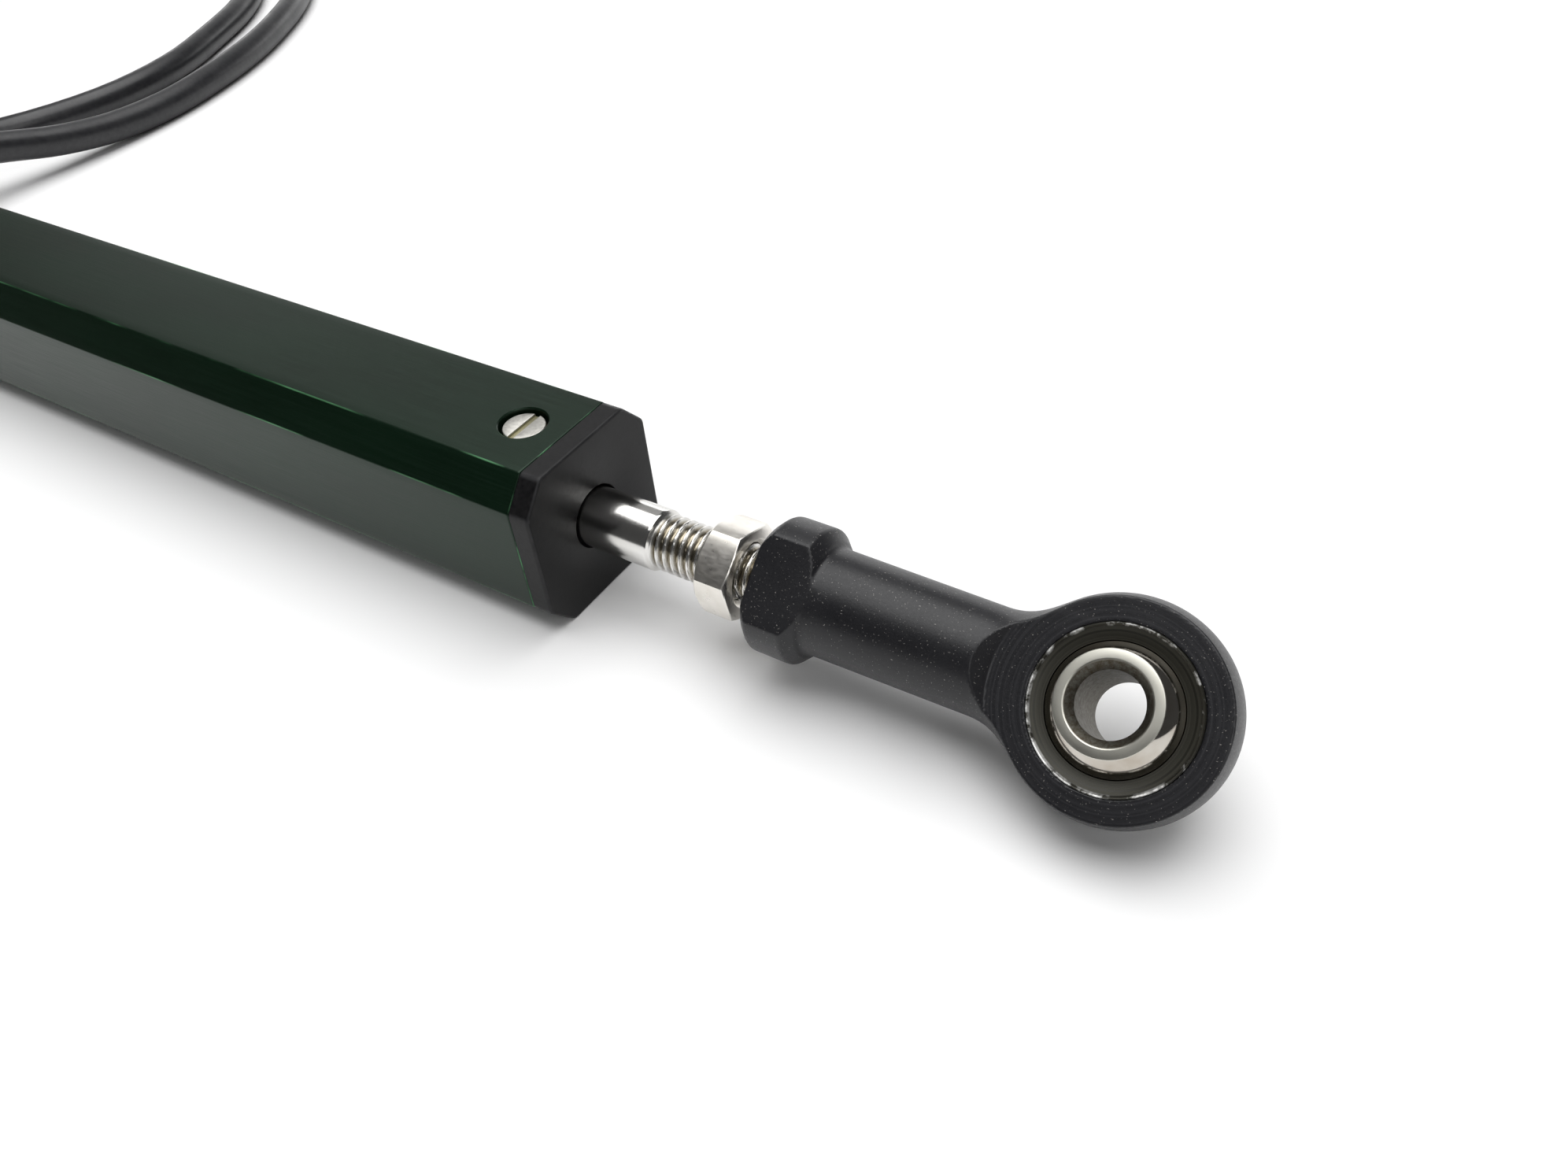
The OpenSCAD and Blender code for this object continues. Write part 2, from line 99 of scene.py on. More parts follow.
class Finish:
    """A material with one Principled shader, and short calls that add texture nodes to it."""

    def __init__(self, name, **sockets):
        self.material = bpy.data.materials.new(name)
        self.material.use_nodes = True
        self.nodes = self.material.node_tree.nodes
        self.links = self.material.node_tree.links
        self.shader = self.nodes["Principled BSDF"]
        for socket, value in sockets.items():
            self.set(socket.replace("_", " "), value)

    def put(self, socket, value):
        """Links a node's output to a socket, or gives the socket a number or colour."""
        if isinstance(value, bpy.types.NodeSocket):
            self.links.new(value, socket)
        else:
            socket.default_value = value

    def set(self, socket, value):
        """Sets or links one of the shader's inputs."""
        if isinstance(value, tuple) and len(value) == 3:
            value = (*value, 1)
        self.put(self.shader.inputs[socket], value)

    def place(self, stretch):
        """The piece's own coordinates, stretched."""
        mapping = self.nodes.new("ShaderNodeMapping")
        mapping.inputs["Scale"].default_value = stretch
        self.links.new(self.nodes.new("ShaderNodeTexCoord").outputs["Object"], mapping.inputs["Vector"])
        return mapping.outputs["Vector"]

    def noise(self, stretch, detail=2.0, roughness=0.5):
        """Noise from 0 to 1, with so many waves a metre along X, Y and Z."""
        node = self.nodes.new("ShaderNodeTexNoise")
        self.links.new(self.place(stretch), node.inputs["Vector"])
        node.inputs["Scale"].default_value = 1
        node.inputs["Detail"].default_value = detail
        node.inputs["Roughness"].default_value = roughness
        return node.outputs["Fac"]

    def math(self, operation, *values):
        """Result of one arithmetic step."""
        node = self.nodes.new("ShaderNodeMath")
        node.operation = operation
        for socket, value in zip(node.inputs, values):
            self.put(socket, value)
        return node.outputs["Value"]

    def span(self, value, low, high, to_low=0.0, to_high=1.0):
        """Maps low..high to to_low..to_high, clamped."""
        node = self.nodes.new("ShaderNodeMapRange")
        for socket, number in zip(node.inputs, (value, low, high, to_low, to_high)):
            self.put(socket, number)
        return node.outputs["Result"]

    def mix(self, share, first, second):
        """Colour between first and second."""
        node = self.nodes.new("ShaderNodeMix")
        node.data_type = "RGBA"
        self.put(node.inputs[0], share)
        for socket, colour in ((node.inputs[6], first), (node.inputs[7], second)):
            self.put(socket, (*colour, 1) if isinstance(colour, tuple) else colour)
        return node.outputs[2]

    def edge(self):
        """The mesh's own record of its worn edges and of the edges painted bright as highlights and
        reflections.
        """
        node = self.nodes.new("ShaderNodeAttribute")
        node.attribute_name = "edge"
        return node.outputs["Fac"]

    def parts(self):
        """The piece's own X, Y and Z, in metres."""
        split = self.nodes.new("ShaderNodeSeparateXYZ")
        self.links.new(self.nodes.new("ShaderNodeTexCoord").outputs["Object"], split.inputs["Vector"])
        return split.outputs

    def radius(self, axis):
        """Distance from one of the piece's own axes, in metres, and the place along it."""
        parts = self.parts()
        squares = [self.math("MULTIPLY", parts[k], parts[k]) for k in "XYZ" if k != axis]
        return self.math("SQRT", self.math("ADD", *squares)), parts[axis]

    def rings(self, distance, waves):
        """Noise that varies with one distance only."""
        node = self.nodes.new("ShaderNodeTexNoise")
        node.noise_dimensions = "1D"
        self.links.new(distance, node.inputs["W"])
        node.inputs["Scale"].default_value = waves
        node.inputs["Detail"].default_value = 3
        return node.outputs["Fac"]

    def bump(self, height, depth_mm):
        """Gives the surface a relief that is so many millimetres deep."""
        node = self.nodes.new("ShaderNodeBump")
        node.inputs["Distance"].default_value = depth_mm * MM
        self.links.new(height, node.inputs["Height"])
        self.set("Normal", node.outputs["Normal"])


def plain_finish(name, dark, light, roughness, waves=600, bump_mm=0.02, **sockets):
    """A finish whose colour, gloss and surface vary finely, for plastics, rubbers and small metal parts."""
    finish = Finish(name, **sockets)
    grain = finish.noise((waves,) * 3, 4)
    finish.set("Base Color", finish.mix(finish.span(grain, 0.3, 0.7), dark, light))
    finish.set("Roughness", finish.span(grain, 0.25, 0.75, roughness * 0.85, roughness * 1.15))
    finish.bump(finish.noise((waves * 4,) * 3, 2), bump_mm)
    return finish.material


def green_anodised():
    """Dyed anodised extrusion, drawn along X, with its sharp edges worn bright and a bright reflection
    painted on its counterbore rims.
    """
    finish = Finish("green_anodised", Metallic=0.55)
    lines = finish.noise((120, 7000, 7000), 3, 0.6)
    cloud = finish.noise((60, 160, 160), 2)
    dyed = finish.mix(finish.span(cloud, 0.3, 0.7), (0.0015, 0.012, 0.004), (0.003, 0.018, 0.007))
    lined = finish.mix(finish.span(lines, 0.45, 0.8), dyed, (0.005, 0.022, 0.010))
    # Edge lightening: real wear on the edges, and on the counterbore rims a painted reflection of their lit
    # inner walls
    edge_lightening = finish.math("MULTIPLY", finish.edge(), finish.span(finish.noise((90, 300, 300), 3), 0.48, 0.66))
    finish.set("Base Color", finish.mix(edge_lightening, lined, (0.09, 0.26, 0.12)))
    finish.set("Roughness", finish.span(lines, 0.3, 0.7, 0.28, 0.38))
    finish.bump(lines, 0.004)
    return finish.material


def black_cap():
    """Black anodised end plates, finely turned, a little rubbed on their edges."""
    finish = Finish("black_cap", Specular_IOR_Level=0.2)
    grain = finish.noise((2500, 2500, 2500), 3)
    base = finish.mix(finish.span(grain, 0.3, 0.75), (0.004, 0.004, 0.0045), (0.009, 0.0085, 0.009))
    edge_lightening = finish.math("MULTIPLY", finish.edge(), finish.span(finish.noise((400,) * 3, 3), 0.3, 0.7))
    finish.set("Base Color", finish.mix(edge_lightening, base, (0.035, 0.035, 0.037)))
    finish.set("Roughness", finish.span(grain, 0.3, 0.7, 0.34, 0.46))
    finish.bump(grain, 0.006)
    return finish.material


def rod_steel():
    """Ground and polished stainless rod, with fine marks round it."""
    finish = Finish("rod_steel", Metallic=1.0)
    rings = finish.noise((9000, 250, 250), 3)
    smudge = finish.noise((300, 300, 300), 3)
    distance, along = finish.radius("X")
    threaded = finish.span(along, (SHOULDER_X - 0.15) * MM, (SHOULDER_X + 0.05) * MM)
    in_root = finish.math("MULTIPLY", threaded, finish.span(distance, 2.12 * MM, 2.38 * MM, 1, 0))
    polished = finish.mix(finish.span(smudge, 0.35, 0.7), (0.80, 0.79, 0.77), (0.70, 0.69, 0.66))
    finish.set("Base Color", finish.mix(in_root, polished, (0.30, 0.27, 0.21)))
    finish.set("Roughness", finish.math("ADD", finish.span(smudge, 0.3, 0.75, 0.10, 0.20),
                                        finish.math("MULTIPLY", threaded, 0.12)))
    finish.bump(rings, 0.002)
    return finish.material


def brushed_metal(name, light, dark, roughness):
    """Brushed metal whose marks run round the X axis of the piece."""
    finish = Finish(name, Metallic=1.0)
    distance, along = finish.radius("X")
    rings = finish.rings(finish.math("ADD", distance, along), 9000)
    smudge = finish.noise((700, 700, 700), 4)
    finish.set("Base Color", finish.mix(finish.span(smudge, 0.35, 0.7), light, dark))
    finish.set("Roughness", finish.span(smudge, 0.3, 0.75, roughness * 0.8, roughness * 1.3))
    finish.bump(rings, 0.003)
    return finish.material


def nut_steel():
    """Nickel-plated lock nut, its faces brushed, a bright highlight painted along the edges of its chamfers
    and corners.
    """
    finish = Finish("nut_steel", Metallic=1.0)
    brush = finish.noise((1500, 5000, 900), 2)
    smudge = finish.noise((500, 500, 500), 4)
    base = finish.mix(finish.span(smudge, 0.3, 0.7), (0.86, 0.83, 0.78), (0.74, 0.71, 0.65))
    # Painted highlight: the chamfer rows marked in the edge attribute are made near white
    finish.set("Base Color", finish.mix(finish.edge(), base, (0.92, 0.91, 0.87)))
    finish.set("Roughness", finish.span(brush, 0.25, 0.75, 0.26, 0.38))
    finish.bump(brush, 0.0012)
    return finish.material


def rod_end_black():
    """Black-finished steel with fine grain, bright specks, and turning rings on the head's faces."""
    finish = Finish("rod_end_black", Specular_IOR_Level=0.42)
    grain = finish.noise((5200, 5200, 5200), 3, 0.7)
    cloud = finish.noise((220, 220, 220), 3)
    distance, height = finish.radius("Z")
    rings = finish.rings(distance, 4200)
    outer = finish.span(finish.math("ABSOLUTE", height), (HEAD_HALF - 0.15) * MM, (HEAD_HALF - 0.03) * MM)
    near = finish.span(distance, (STEP_R - 0.1) * MM, (STEP_R + 0.1) * MM, 1, 0)
    on_face = finish.math("MULTIPLY", outer, near)
    base = finish.mix(finish.span(cloud, 0.3, 0.7), (0.008, 0.008, 0.010), (0.013, 0.013, 0.015))
    marks = finish.math("MULTIPLY", on_face, finish.span(rings, 0.45, 0.75))
    ringed = finish.mix(marks, base, (0.026, 0.026, 0.029))
    specks = finish.span(finish.noise((7000, 7000, 7000), 1), 0.70, 0.75)
    finish.set("Base Color", finish.mix(specks, ringed, (0.20, 0.19, 0.18)))
    finish.set("Roughness", finish.span(grain, 0.25, 0.75, 0.32, 0.46))
    relief = finish.math("ADD", grain, finish.math("MULTIPLY", finish.math("MULTIPLY", rings, on_face), 0.5))
    finish.bump(relief, 0.010)
    return finish.material


def race_metal():
    """Olive-grey plated race with its swaged lip rubbed bright in places, the bright spots also standing in
    as painted highlights on the lip.
    """
    finish = Finish("race_metal", Metallic=0.5)
    distance, along = finish.radius("Z")
    rings = finish.rings(distance, 6000)
    base = finish.mix(finish.span(rings, 0.3, 0.7), (0.022, 0.021, 0.016), (0.045, 0.043, 0.033))
    wear_and_glint = finish.span(finish.noise((420, 420, 420), 4, 0.7), 0.48, 0.60)
    # The lip's bright spots are partly wear and partly painted highlights
    lip = finish.math("MULTIPLY", finish.edge(), wear_and_glint)
    finish.set("Base Color", finish.mix(lip, base, (0.92, 0.92, 0.90)))
    finish.set("Roughness", finish.span(rings, 0.3, 0.7, 0.38, 0.52))
    finish.bump(rings, 0.004)
    return finish.material


def ball_steel():
    """Polished ball with satin flats and a stained, speckled bore."""
    finish = Finish("ball_steel", Metallic=1.0)
    distance, along = finish.radius("Z")
    in_bore = finish.span(distance, 3.05 * MM, 3.2 * MM, 1, 0)
    on_flat = finish.span(finish.math("ABSOLUTE", along), (BALL_HALF - 0.10) * MM, (BALL_HALF - 0.04) * MM)
    speckle = finish.noise((2600, 2600, 2600), 4, 0.8)
    stain = finish.noise((600, 600, 600), 3)
    polished = finish.mix(finish.span(stain, 0.35, 0.75), (0.56, 0.53, 0.48), (0.44, 0.39, 0.33))
    steel = finish.mix(on_flat, polished, (0.58, 0.57, 0.51))
    dull = finish.mix(finish.span(speckle, 0.38, 0.66), (0.09, 0.075, 0.055), (0.19, 0.185, 0.16))
    finish.set("Base Color", finish.mix(in_bore, steel, dull))
    flat_gloss, bore_gloss = finish.math("MULTIPLY", on_flat, 0.30), finish.math("MULTIPLY", in_bore, 0.42)
    satin = finish.math("MAXIMUM", flat_gloss, bore_gloss)
    finish.set("Roughness", finish.math("ADD", satin, finish.span(stain, 0.3, 0.7, 0.05, 0.10)))
    finish.bump(finish.math("MULTIPLY", speckle, in_bore), 0.01)
    return finish.material


def screw_steel():
    """Satin white plated screw heads, with old varnish left in their slots."""
    finish = Finish("screw_steel", Metallic=0.75)
    grain = finish.noise((3500, 3500, 3500), 3)
    from_axis = finish.math("ABSOLUTE", finish.parts()["Z"])
    in_slot = finish.span(from_axis, 7.45 * MM, 7.6 * MM, 1, 0)
    white = finish.mix(finish.span(grain, 0.3, 0.7), (0.44, 0.43, 0.40), (0.58, 0.57, 0.53))
    finish.set("Base Color", finish.mix(in_slot, white, (0.34, 0.32, 0.20)))
    finish.set("Roughness", finish.span(grain, 0.3, 0.7, 0.32, 0.46))
    finish.bump(grain, 0.008)
    return finish.material


def cable_jacket():
    """Smooth black PVC with the slight ripple of its core."""
    finish = Finish("cable_jacket", IOR=1.5)
    grain = finish.noise((1500, 1500, 1500), 3)
    ripple = finish.noise((160, 160, 160), 2)
    shade = finish.span(grain, 0.3, 0.7)
    finish.set("Base Color", finish.mix(shade, (0.010, 0.010, 0.012), (0.020, 0.020, 0.022)))
    finish.set("Roughness", finish.span(ripple, 0.3, 0.7, 0.30, 0.42))
    finish.bump(finish.math("ADD", ripple, finish.math("MULTIPLY", grain, 0.1)), 0.08)
    return finish.material


def wire_insulation(name, colour):
    """Coloured plastic of one conductor."""
    dark = tuple(c * 0.7 for c in colour)
    return plain_finish(name, dark, colour, 0.4, 1500, 0.01)


FINISHES = {
    "green_anodised": green_anodised(),
    "black_cap": black_cap(),
    "bronze_bush": plain_finish("bronze_bush",
        (0.30, 0.17, 0.07), (0.45, 0.28, 0.12), 0.45, 2500, 0.03, Metallic=0.9),
    "seal_rubber": plain_finish("seal_rubber", (0.010, 0.010, 0.011), (0.022, 0.022, 0.023), 0.6, 1800),
    "screw_steel": screw_steel(),
    "board": plain_finish("board", (0.12, 0.045, 0.012), (0.20, 0.080, 0.025), 0.5, 900),
    "resistive": plain_finish("resistive", (0.012, 0.012, 0.013), (0.022, 0.022, 0.024), 0.3, 2500, 0.005),
    "collector": plain_finish("collector",
        (0.60, 0.36, 0.10), (0.75, 0.50, 0.18), 0.3, 2500, 0.005, Metallic=1.0),
    "conductors": plain_finish("conductors", (0.28, 0.010, 0.008), (0.45, 0.020, 0.015), 0.4, 1500, 0.01),
    "rod_steel": rod_steel(),
    "spring_steel": brushed_metal("spring_steel", (0.20, 0.20, 0.21), (0.10, 0.10, 0.11), 0.35),
    "carriage_plastic": plain_finish("carriage_plastic", (0.62, 0.60, 0.52), (0.75, 0.73, 0.65), 0.45, 900),
    "wiper_metal": brushed_metal("wiper_metal", (0.80, 0.58, 0.22), (0.62, 0.42, 0.14), 0.25),
    "nut_steel": nut_steel(),
    "rod_end_black": rod_end_black(),
    "race_metal": race_metal(),
    "ball_steel": ball_steel(),
    "gland_rubber": plain_finish("gland_rubber",
        (0.010, 0.010, 0.010), (0.020, 0.020, 0.021), 0.55, 1600, 0.03),
    "cable_jacket": cable_jacket(),
    "tie_plastic": plain_finish("tie_plastic",
        (0.012, 0.012, 0.012), (0.022, 0.022, 0.022), 0.38, 1500, 0.01),
}
TINNED = plain_finish("tinned_copper", (0.55, 0.53, 0.50), (0.72, 0.70, 0.66), 0.3, 3000, 0.02, Metallic=1.0)
WIRES = {
    "red": FINISHES["conductors"],
    "white": wire_insulation("wire_white", (0.75, 0.74, 0.70)),
    "black": wire_insulation("wire_black", (0.025, 0.025, 0.027)),
}

# The CAD nodes keep their shape unless a piece below replaces them, and take the finish of their slot.
for entry in frame["record"]["materials"]:
    for node_name in entry.get("nodes", []):
        node = frame["nodes"][node_name]
        node.data.materials.clear()
        node.data.materials.append(FINISHES[entry["slot"]])


# ---------- mesh building ----------

def face_outward(mesh):
    """Turns all faces of a closed mesh over if they point inward."""
    shape = bmesh.new()
    shape.from_mesh(mesh)
    if shape.calc_volume(signed=True) < 0:
        bmesh.ops.reverse_faces(shape, faces=shape.faces)
        shape.to_mesh(mesh)
    shape.free()
    mesh.update()


def add_piece(name, points, faces, body, slot, replaced=(), matrix=None, edge=None, sharp=32, normals=None):
    """Makes one mesh piece from millimetre points, riding on a body and taking its slot's finish.

    replaced names the CAD nodes it stands for, and edge says how worn each point is, and on some pieces how
    strongly a highlight or reflection is painted on it. Edges sharper than the angle sharp, in degrees,
    aren't smoothed, unless the points' normals are given.
    """
    mesh = bpy.data.meshes.new(name)
    mesh.from_pydata((np.asarray(points) * MM).tolist(), [], faces)
    face_outward(mesh)
    if edge is not None:
        edge_lightening = mesh.attributes.new("edge", "FLOAT", "POINT")
        edge_lightening.data.foreach_set("value", np.asarray(edge, dtype=float).ravel())
    mesh.shade_smooth()
    if normals is None:
        mesh.set_sharp_from_angle(angle=math.radians(sharp))
    else:
        mesh.normals_split_custom_set_from_vertices(normals)
    obj = bpy.data.objects.new(name, mesh)
    bpy.context.collection.objects.link(obj)
    mesh.materials.append(FINISHES[slot])
    if matrix is not None:
        obj.matrix_world = matrix
    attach(obj, body)
    if replaced:
        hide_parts(*replaced)
    return obj


def ring_faces(count, sides, closed):
    """Quads between rings of points. Closed joins the last ring to the first; else both ends are capped."""
    faces = []
    for i in range(count if closed else count - 1):
        a, b = i * sides, (i + 1) % count * sides
        faces += [(a + k, a + (k + 1) % sides, b + (k + 1) % sides, b + k) for k in range(sides)]
    if not closed:
        faces.append(tuple(range(sides))[::-1])
        faces.append(tuple((count - 1) * sides + k for k in range(sides)))
    return faces


def lathe(profile, axis, sides=96, closed=True):
    """Points and faces of (radius, place) stations turned round an axis; closed is for rings."""
    profile = np.asarray(profile, dtype=float)
    turn = np.arange(sides) * 2 * math.pi / sides
    radius, place = profile[:, :1], np.repeat(profile[:, 1:2], sides, axis=1)
    first, second = radius * np.cos(turn), radius * np.sin(turn)
    order = {"X": (place, first, second), "Y": (second, place, first), "Z": (first, second, place)}[axis]
    return np.stack(order, axis=-1).reshape(-1, 3), ring_faces(len(profile), sides, closed)


def rounded(profile, radius=0.08, steps=3, closed=True):
    """The same profile with its corners rounded off."""
    points = [np.asarray(p, dtype=float) for p in profile]
    count = len(points)
    out = []
    for i, corner in enumerate(points):
        if not closed and i in (0, count - 1):
            out.append(corner)
            continue
        before, after = points[i - 1] - corner, points[(i + 1) % count] - corner
        reach = min(radius, 0.45 * np.linalg.norm(before), 0.45 * np.linalg.norm(after))
        start = corner + before / np.linalg.norm(before) * reach
        end = corner + after / np.linalg.norm(after) * reach
        for t in np.linspace(0, 1, steps + 1):
            out.append((1 - t) ** 2 * start + 2 * t * (1 - t) * corner + t ** 2 * end)
    return out


def section_ring(x, size, cut_y, cut_z, radius, inset=0.0):
    """Chamfered square across X with rounded corners, and where its corners are, as an edge weight."""
    h = size / 2
    corners = [np.array(c) for c in (
        (h, cut_z - h), (h, h - cut_z), (h - cut_y, h), (cut_y - h, h),
        (-h, h - cut_z), (-h, cut_z - h), (cut_y - h, -h), (h - cut_y, -h))]
    sides = [corners[(i + 1) % 8] - corners[i] for i in range(8)]
    normals = [np.array((d[1], -d[0])) / np.linalg.norm(d) for d in sides]
    arcs = []
    for i, corner in enumerate(corners):
        n1, n2 = normals[i - 1], normals[i]
        centre = corner - radius * (n1 + n2) / (1 + n1 @ n2)
        blend = [(1 - t) * n1 + t * n2 for t in np.linspace(0, 1, 4)]
        arcs.append([centre + (radius - inset) * n / np.linalg.norm(n) for n in blend])
    points, weight = [], []
    for i, arc in enumerate(arcs):
        points += arc
        weight += [0, 1, 1, 0]
        pieces = 12 if i % 2 == 0 else 4
        start, end = arc[-1], arcs[(i + 1) % 8][0]
        points += [start + (end - start) * k / pieces for k in range(1, pieces)]
        weight += [0] * (pieces - 1)
    return np.array([(x, *p) for p in points]), np.array(weight, dtype=float)


def circle_like(ring, x, radius):
    """Circle across X whose points lie at the same angles as another ring's."""
    across = ring[:, 1:]
    across = across / np.linalg.norm(across, axis=1)[:, None] * radius
    return np.column_stack((np.full(len(across), x), across))


def carve(obj, cutters, soften=0.0):
    """Cuts shapes (points and faces, in millimetres) out of a piece, and may bevel all its sharp edges."""
    made = []
    for points, faces in cutters:
        mesh = bpy.data.meshes.new("cutter")
        mesh.from_pydata((np.asarray(points) * MM).tolist(), [], faces)
        face_outward(mesh)
        cutter = bpy.data.objects.new("cutter", mesh)
        bpy.context.collection.objects.link(cutter)
        modifier = obj.modifiers.new("cut", "BOOLEAN")
        modifier.object = cutter
        modifier.solver = "EXACT"
        made.append(cutter)
    if soften:
        bevel = obj.modifiers.new("soften", "BEVEL")
        bevel.width = soften * MM
        bevel.segments = 2
        bevel.limit_method = "ANGLE"
        bevel.angle_limit = math.radians(40)
    graph = bpy.context.evaluated_depsgraph_get()
    mesh = bpy.data.meshes.new_from_object(obj.evaluated_get(graph))
    obj.modifiers.clear()
    old = obj.data
    obj.data = mesh
    bpy.data.meshes.remove(old)
    mesh.name = obj.name
    mesh.shade_smooth()
    mesh.set_sharp_from_angle(angle=math.radians(32))
    for cutter in made:
        data = cutter.data
        bpy.data.objects.remove(cutter)
        bpy.data.meshes.remove(data)


def moved(shape, shift=(0, 0, 0), flip=False):
    """The shape, turned half round X if flip is set, then shifted."""
    points, faces = shape
    points = np.array(points, dtype=float)
    if flip:
        points[:, 1:] *= -1
    return points + np.array(shift), faces


def box_shape(low, high):
    """Points and faces of a box between two corners."""
    points = [(x, y, z) for x in (low[0], high[0]) for y in (low[1], high[1]) for z in (low[2], high[2])]
    return points, [(0, 1, 3, 2), (4, 6, 7, 5), (0, 4, 5, 1), (2, 3, 7, 6), (0, 2, 6, 4), (1, 5, 7, 3)]


# ---------- housing, cover plate and rear block ----------

def stacked(rings):
    """Points and edge weights of (ring, weight) pairs."""
    return np.concatenate([r for r, w in rings]), np.concatenate([w for r, w in rings])


def rolled_edge(x, inward, radius, bevel, outer_first):
    """Rings of the section that round its edge over onto the end face at x.

    inward is 1 or -1, the side of x that the body is on.
    """
    rings = []
    steps = 3
    for k in range(steps + 1):
        t = k / steps * math.pi / 2
        ring, weight = section_ring(x + inward * bevel * (1 - math.sin(t)), SIZE, CUT_Y, CUT_Z, radius,
                                    bevel * (1 - math.cos(t)))
        rings.append((ring, np.maximum(weight, 0.8 if k in (1, 2) else 0)))
    rings.insert(0, section_ring(x + inward * (bevel + 0.15), SIZE, CUT_Y, CUT_Z, radius))
    rings.append((section_ring(x, SIZE, CUT_Y, CUT_Z, radius, bevel + 0.08)[0], weight * 0))
    return rings if outer_first else rings[::-1]


def screw_cutters(depth, radius, flare):
    """Counterbores of the four screws, their rims flared."""
    profile = [(radius, -depth), (radius, -flare), (radius + flare, 0), (radius + flare + 0.5, 0.5)]
    cutter = lathe(profile, "Z", 64, closed=False)
    return [moved(cutter, (x, 0, side * SIZE / 2), flip=side < 0) for x in SCREW_X for side in (1, -1)]


def inner_ring(x, size, radius, inset=0.0):
    """Ring of the cavity or of a plug that fits it, with no wear."""
    ring, weight = section_ring(x, size, INNER_CUT_Y, INNER_CUT_Z, radius, inset)
    return ring, weight * 0


def build_housing():
    """Anodised tube with four counterbores, worn at its edges and at a front corner, with a bright reflection
    painted on the rims of the counterbores.
    """
    corner_r, bevel = 0.26, 0.12
    rings = rolled_edge(PROFILE_X, 1, corner_r, bevel, outer_first=False)
    count = 16
    for k in range(1, count):
        x = PROFILE_X + (PLATE_X - PROFILE_X) * k / count
        rings.append(section_ring(x, SIZE, CUT_Y, CUT_Z, corner_r))
    rings += rolled_edge(PLATE_X, -1, corner_r, bevel, outer_first=True)
    for x in (PLATE_X, PROFILE_X):
        rings.append(inner_ring(x, CAVITY, 0.1))
    points, weight = stacked(rings)
    obj = add_piece("housing_body", points, ring_faces(len(rings), len(rings[0][0]), True), "housing",
                    "green_anodised", ["housing_profile"], edge=weight)
    carve(obj, screw_cutters(depth=4, radius=2.2, flare=0.10))
    edge_lightening = obj.data.attributes["edge"].data
    rubbed_corner = (PLATE_X, CUT_Y - SIZE / 2, SIZE / 2)
    wear_and_glint = 3
    # Round the screws only the counterbores' flared rims are marked, as a painted reflection of their lit
    # inner walls; at the front corner the edges are rubbed brighter
    for vertex in obj.data.vertices:
        x, y, z = vertex.co / MM
        if min(math.hypot(x - screw_x, y) for screw_x in SCREW_X) < 3:
            edge_lightening[vertex.index].value = wear_and_glint if SIZE / 2 - 0.2 < abs(z) < SIZE / 2 - 0.01 else 0
        elif math.dist((x, y, z), rubbed_corner) < 0.7:
            edge_lightening[vertex.index].value *= wear_and_glint


def pilot_cutters(x):
    """Holes for the tips of the two screws at x."""
    pilot = lathe([(1.0, -2.1), (1.0, 0)], "Z", 32, closed=False)
    return [moved(pilot, (x, 0, side * 6.2), flip=side < 0) for side in (1, -1)]


END_CORNER_R, END_BEVEL_R = 0.90, 0.22


def build_cover():
    """Front cover plate with the rod's hole, its seal's groove, and its plug in the housing."""
    radius, bevel = END_CORNER_R, END_BEVEL_R
    rings = [section_ring(PLATE_X, SIZE, CUT_Y, CUT_Z, radius, 0.08)]
    rings.append(section_ring(PLATE_X + 0.08, SIZE, CUT_Y, CUT_Z, radius))
    rings += rolled_edge(FACE_X, -1, radius, bevel, outer_first=True)
    base = rings[0][0]
    none = np.zeros(len(base))
    rim = [(FACE_X, 3.12), (FACE_X - 0.05, 2.98), (FACE_X - 0.16, 2.93), (FACE_X - 1.5, 2.93)]
    chamber = [(FACE_X - 1.5, 4.8), (PLATE_X - 2.5, 4.8), (PLATE_X - 2.5, 4.0), (PLATE_X - FRONT_PLUG, 4.0)]
    for x, r in rim + chamber:
        rings.append((circle_like(base, x, r), none))
    for x, inset in ((PLATE_X - FRONT_PLUG, 0.1), (PLATE_X - FRONT_PLUG + 0.3, 0), (PLATE_X, 0)):
        rings.append(inner_ring(x, PLUG, 0.2, inset))
    points, weight = stacked(rings)
    obj = add_piece("front_cover", points, ring_faces(len(rings), len(base), True), "housing", "black_cap",
                    ["front_cap"], edge=weight)
    carve(obj, pilot_cutters(SCREW_X[0]))


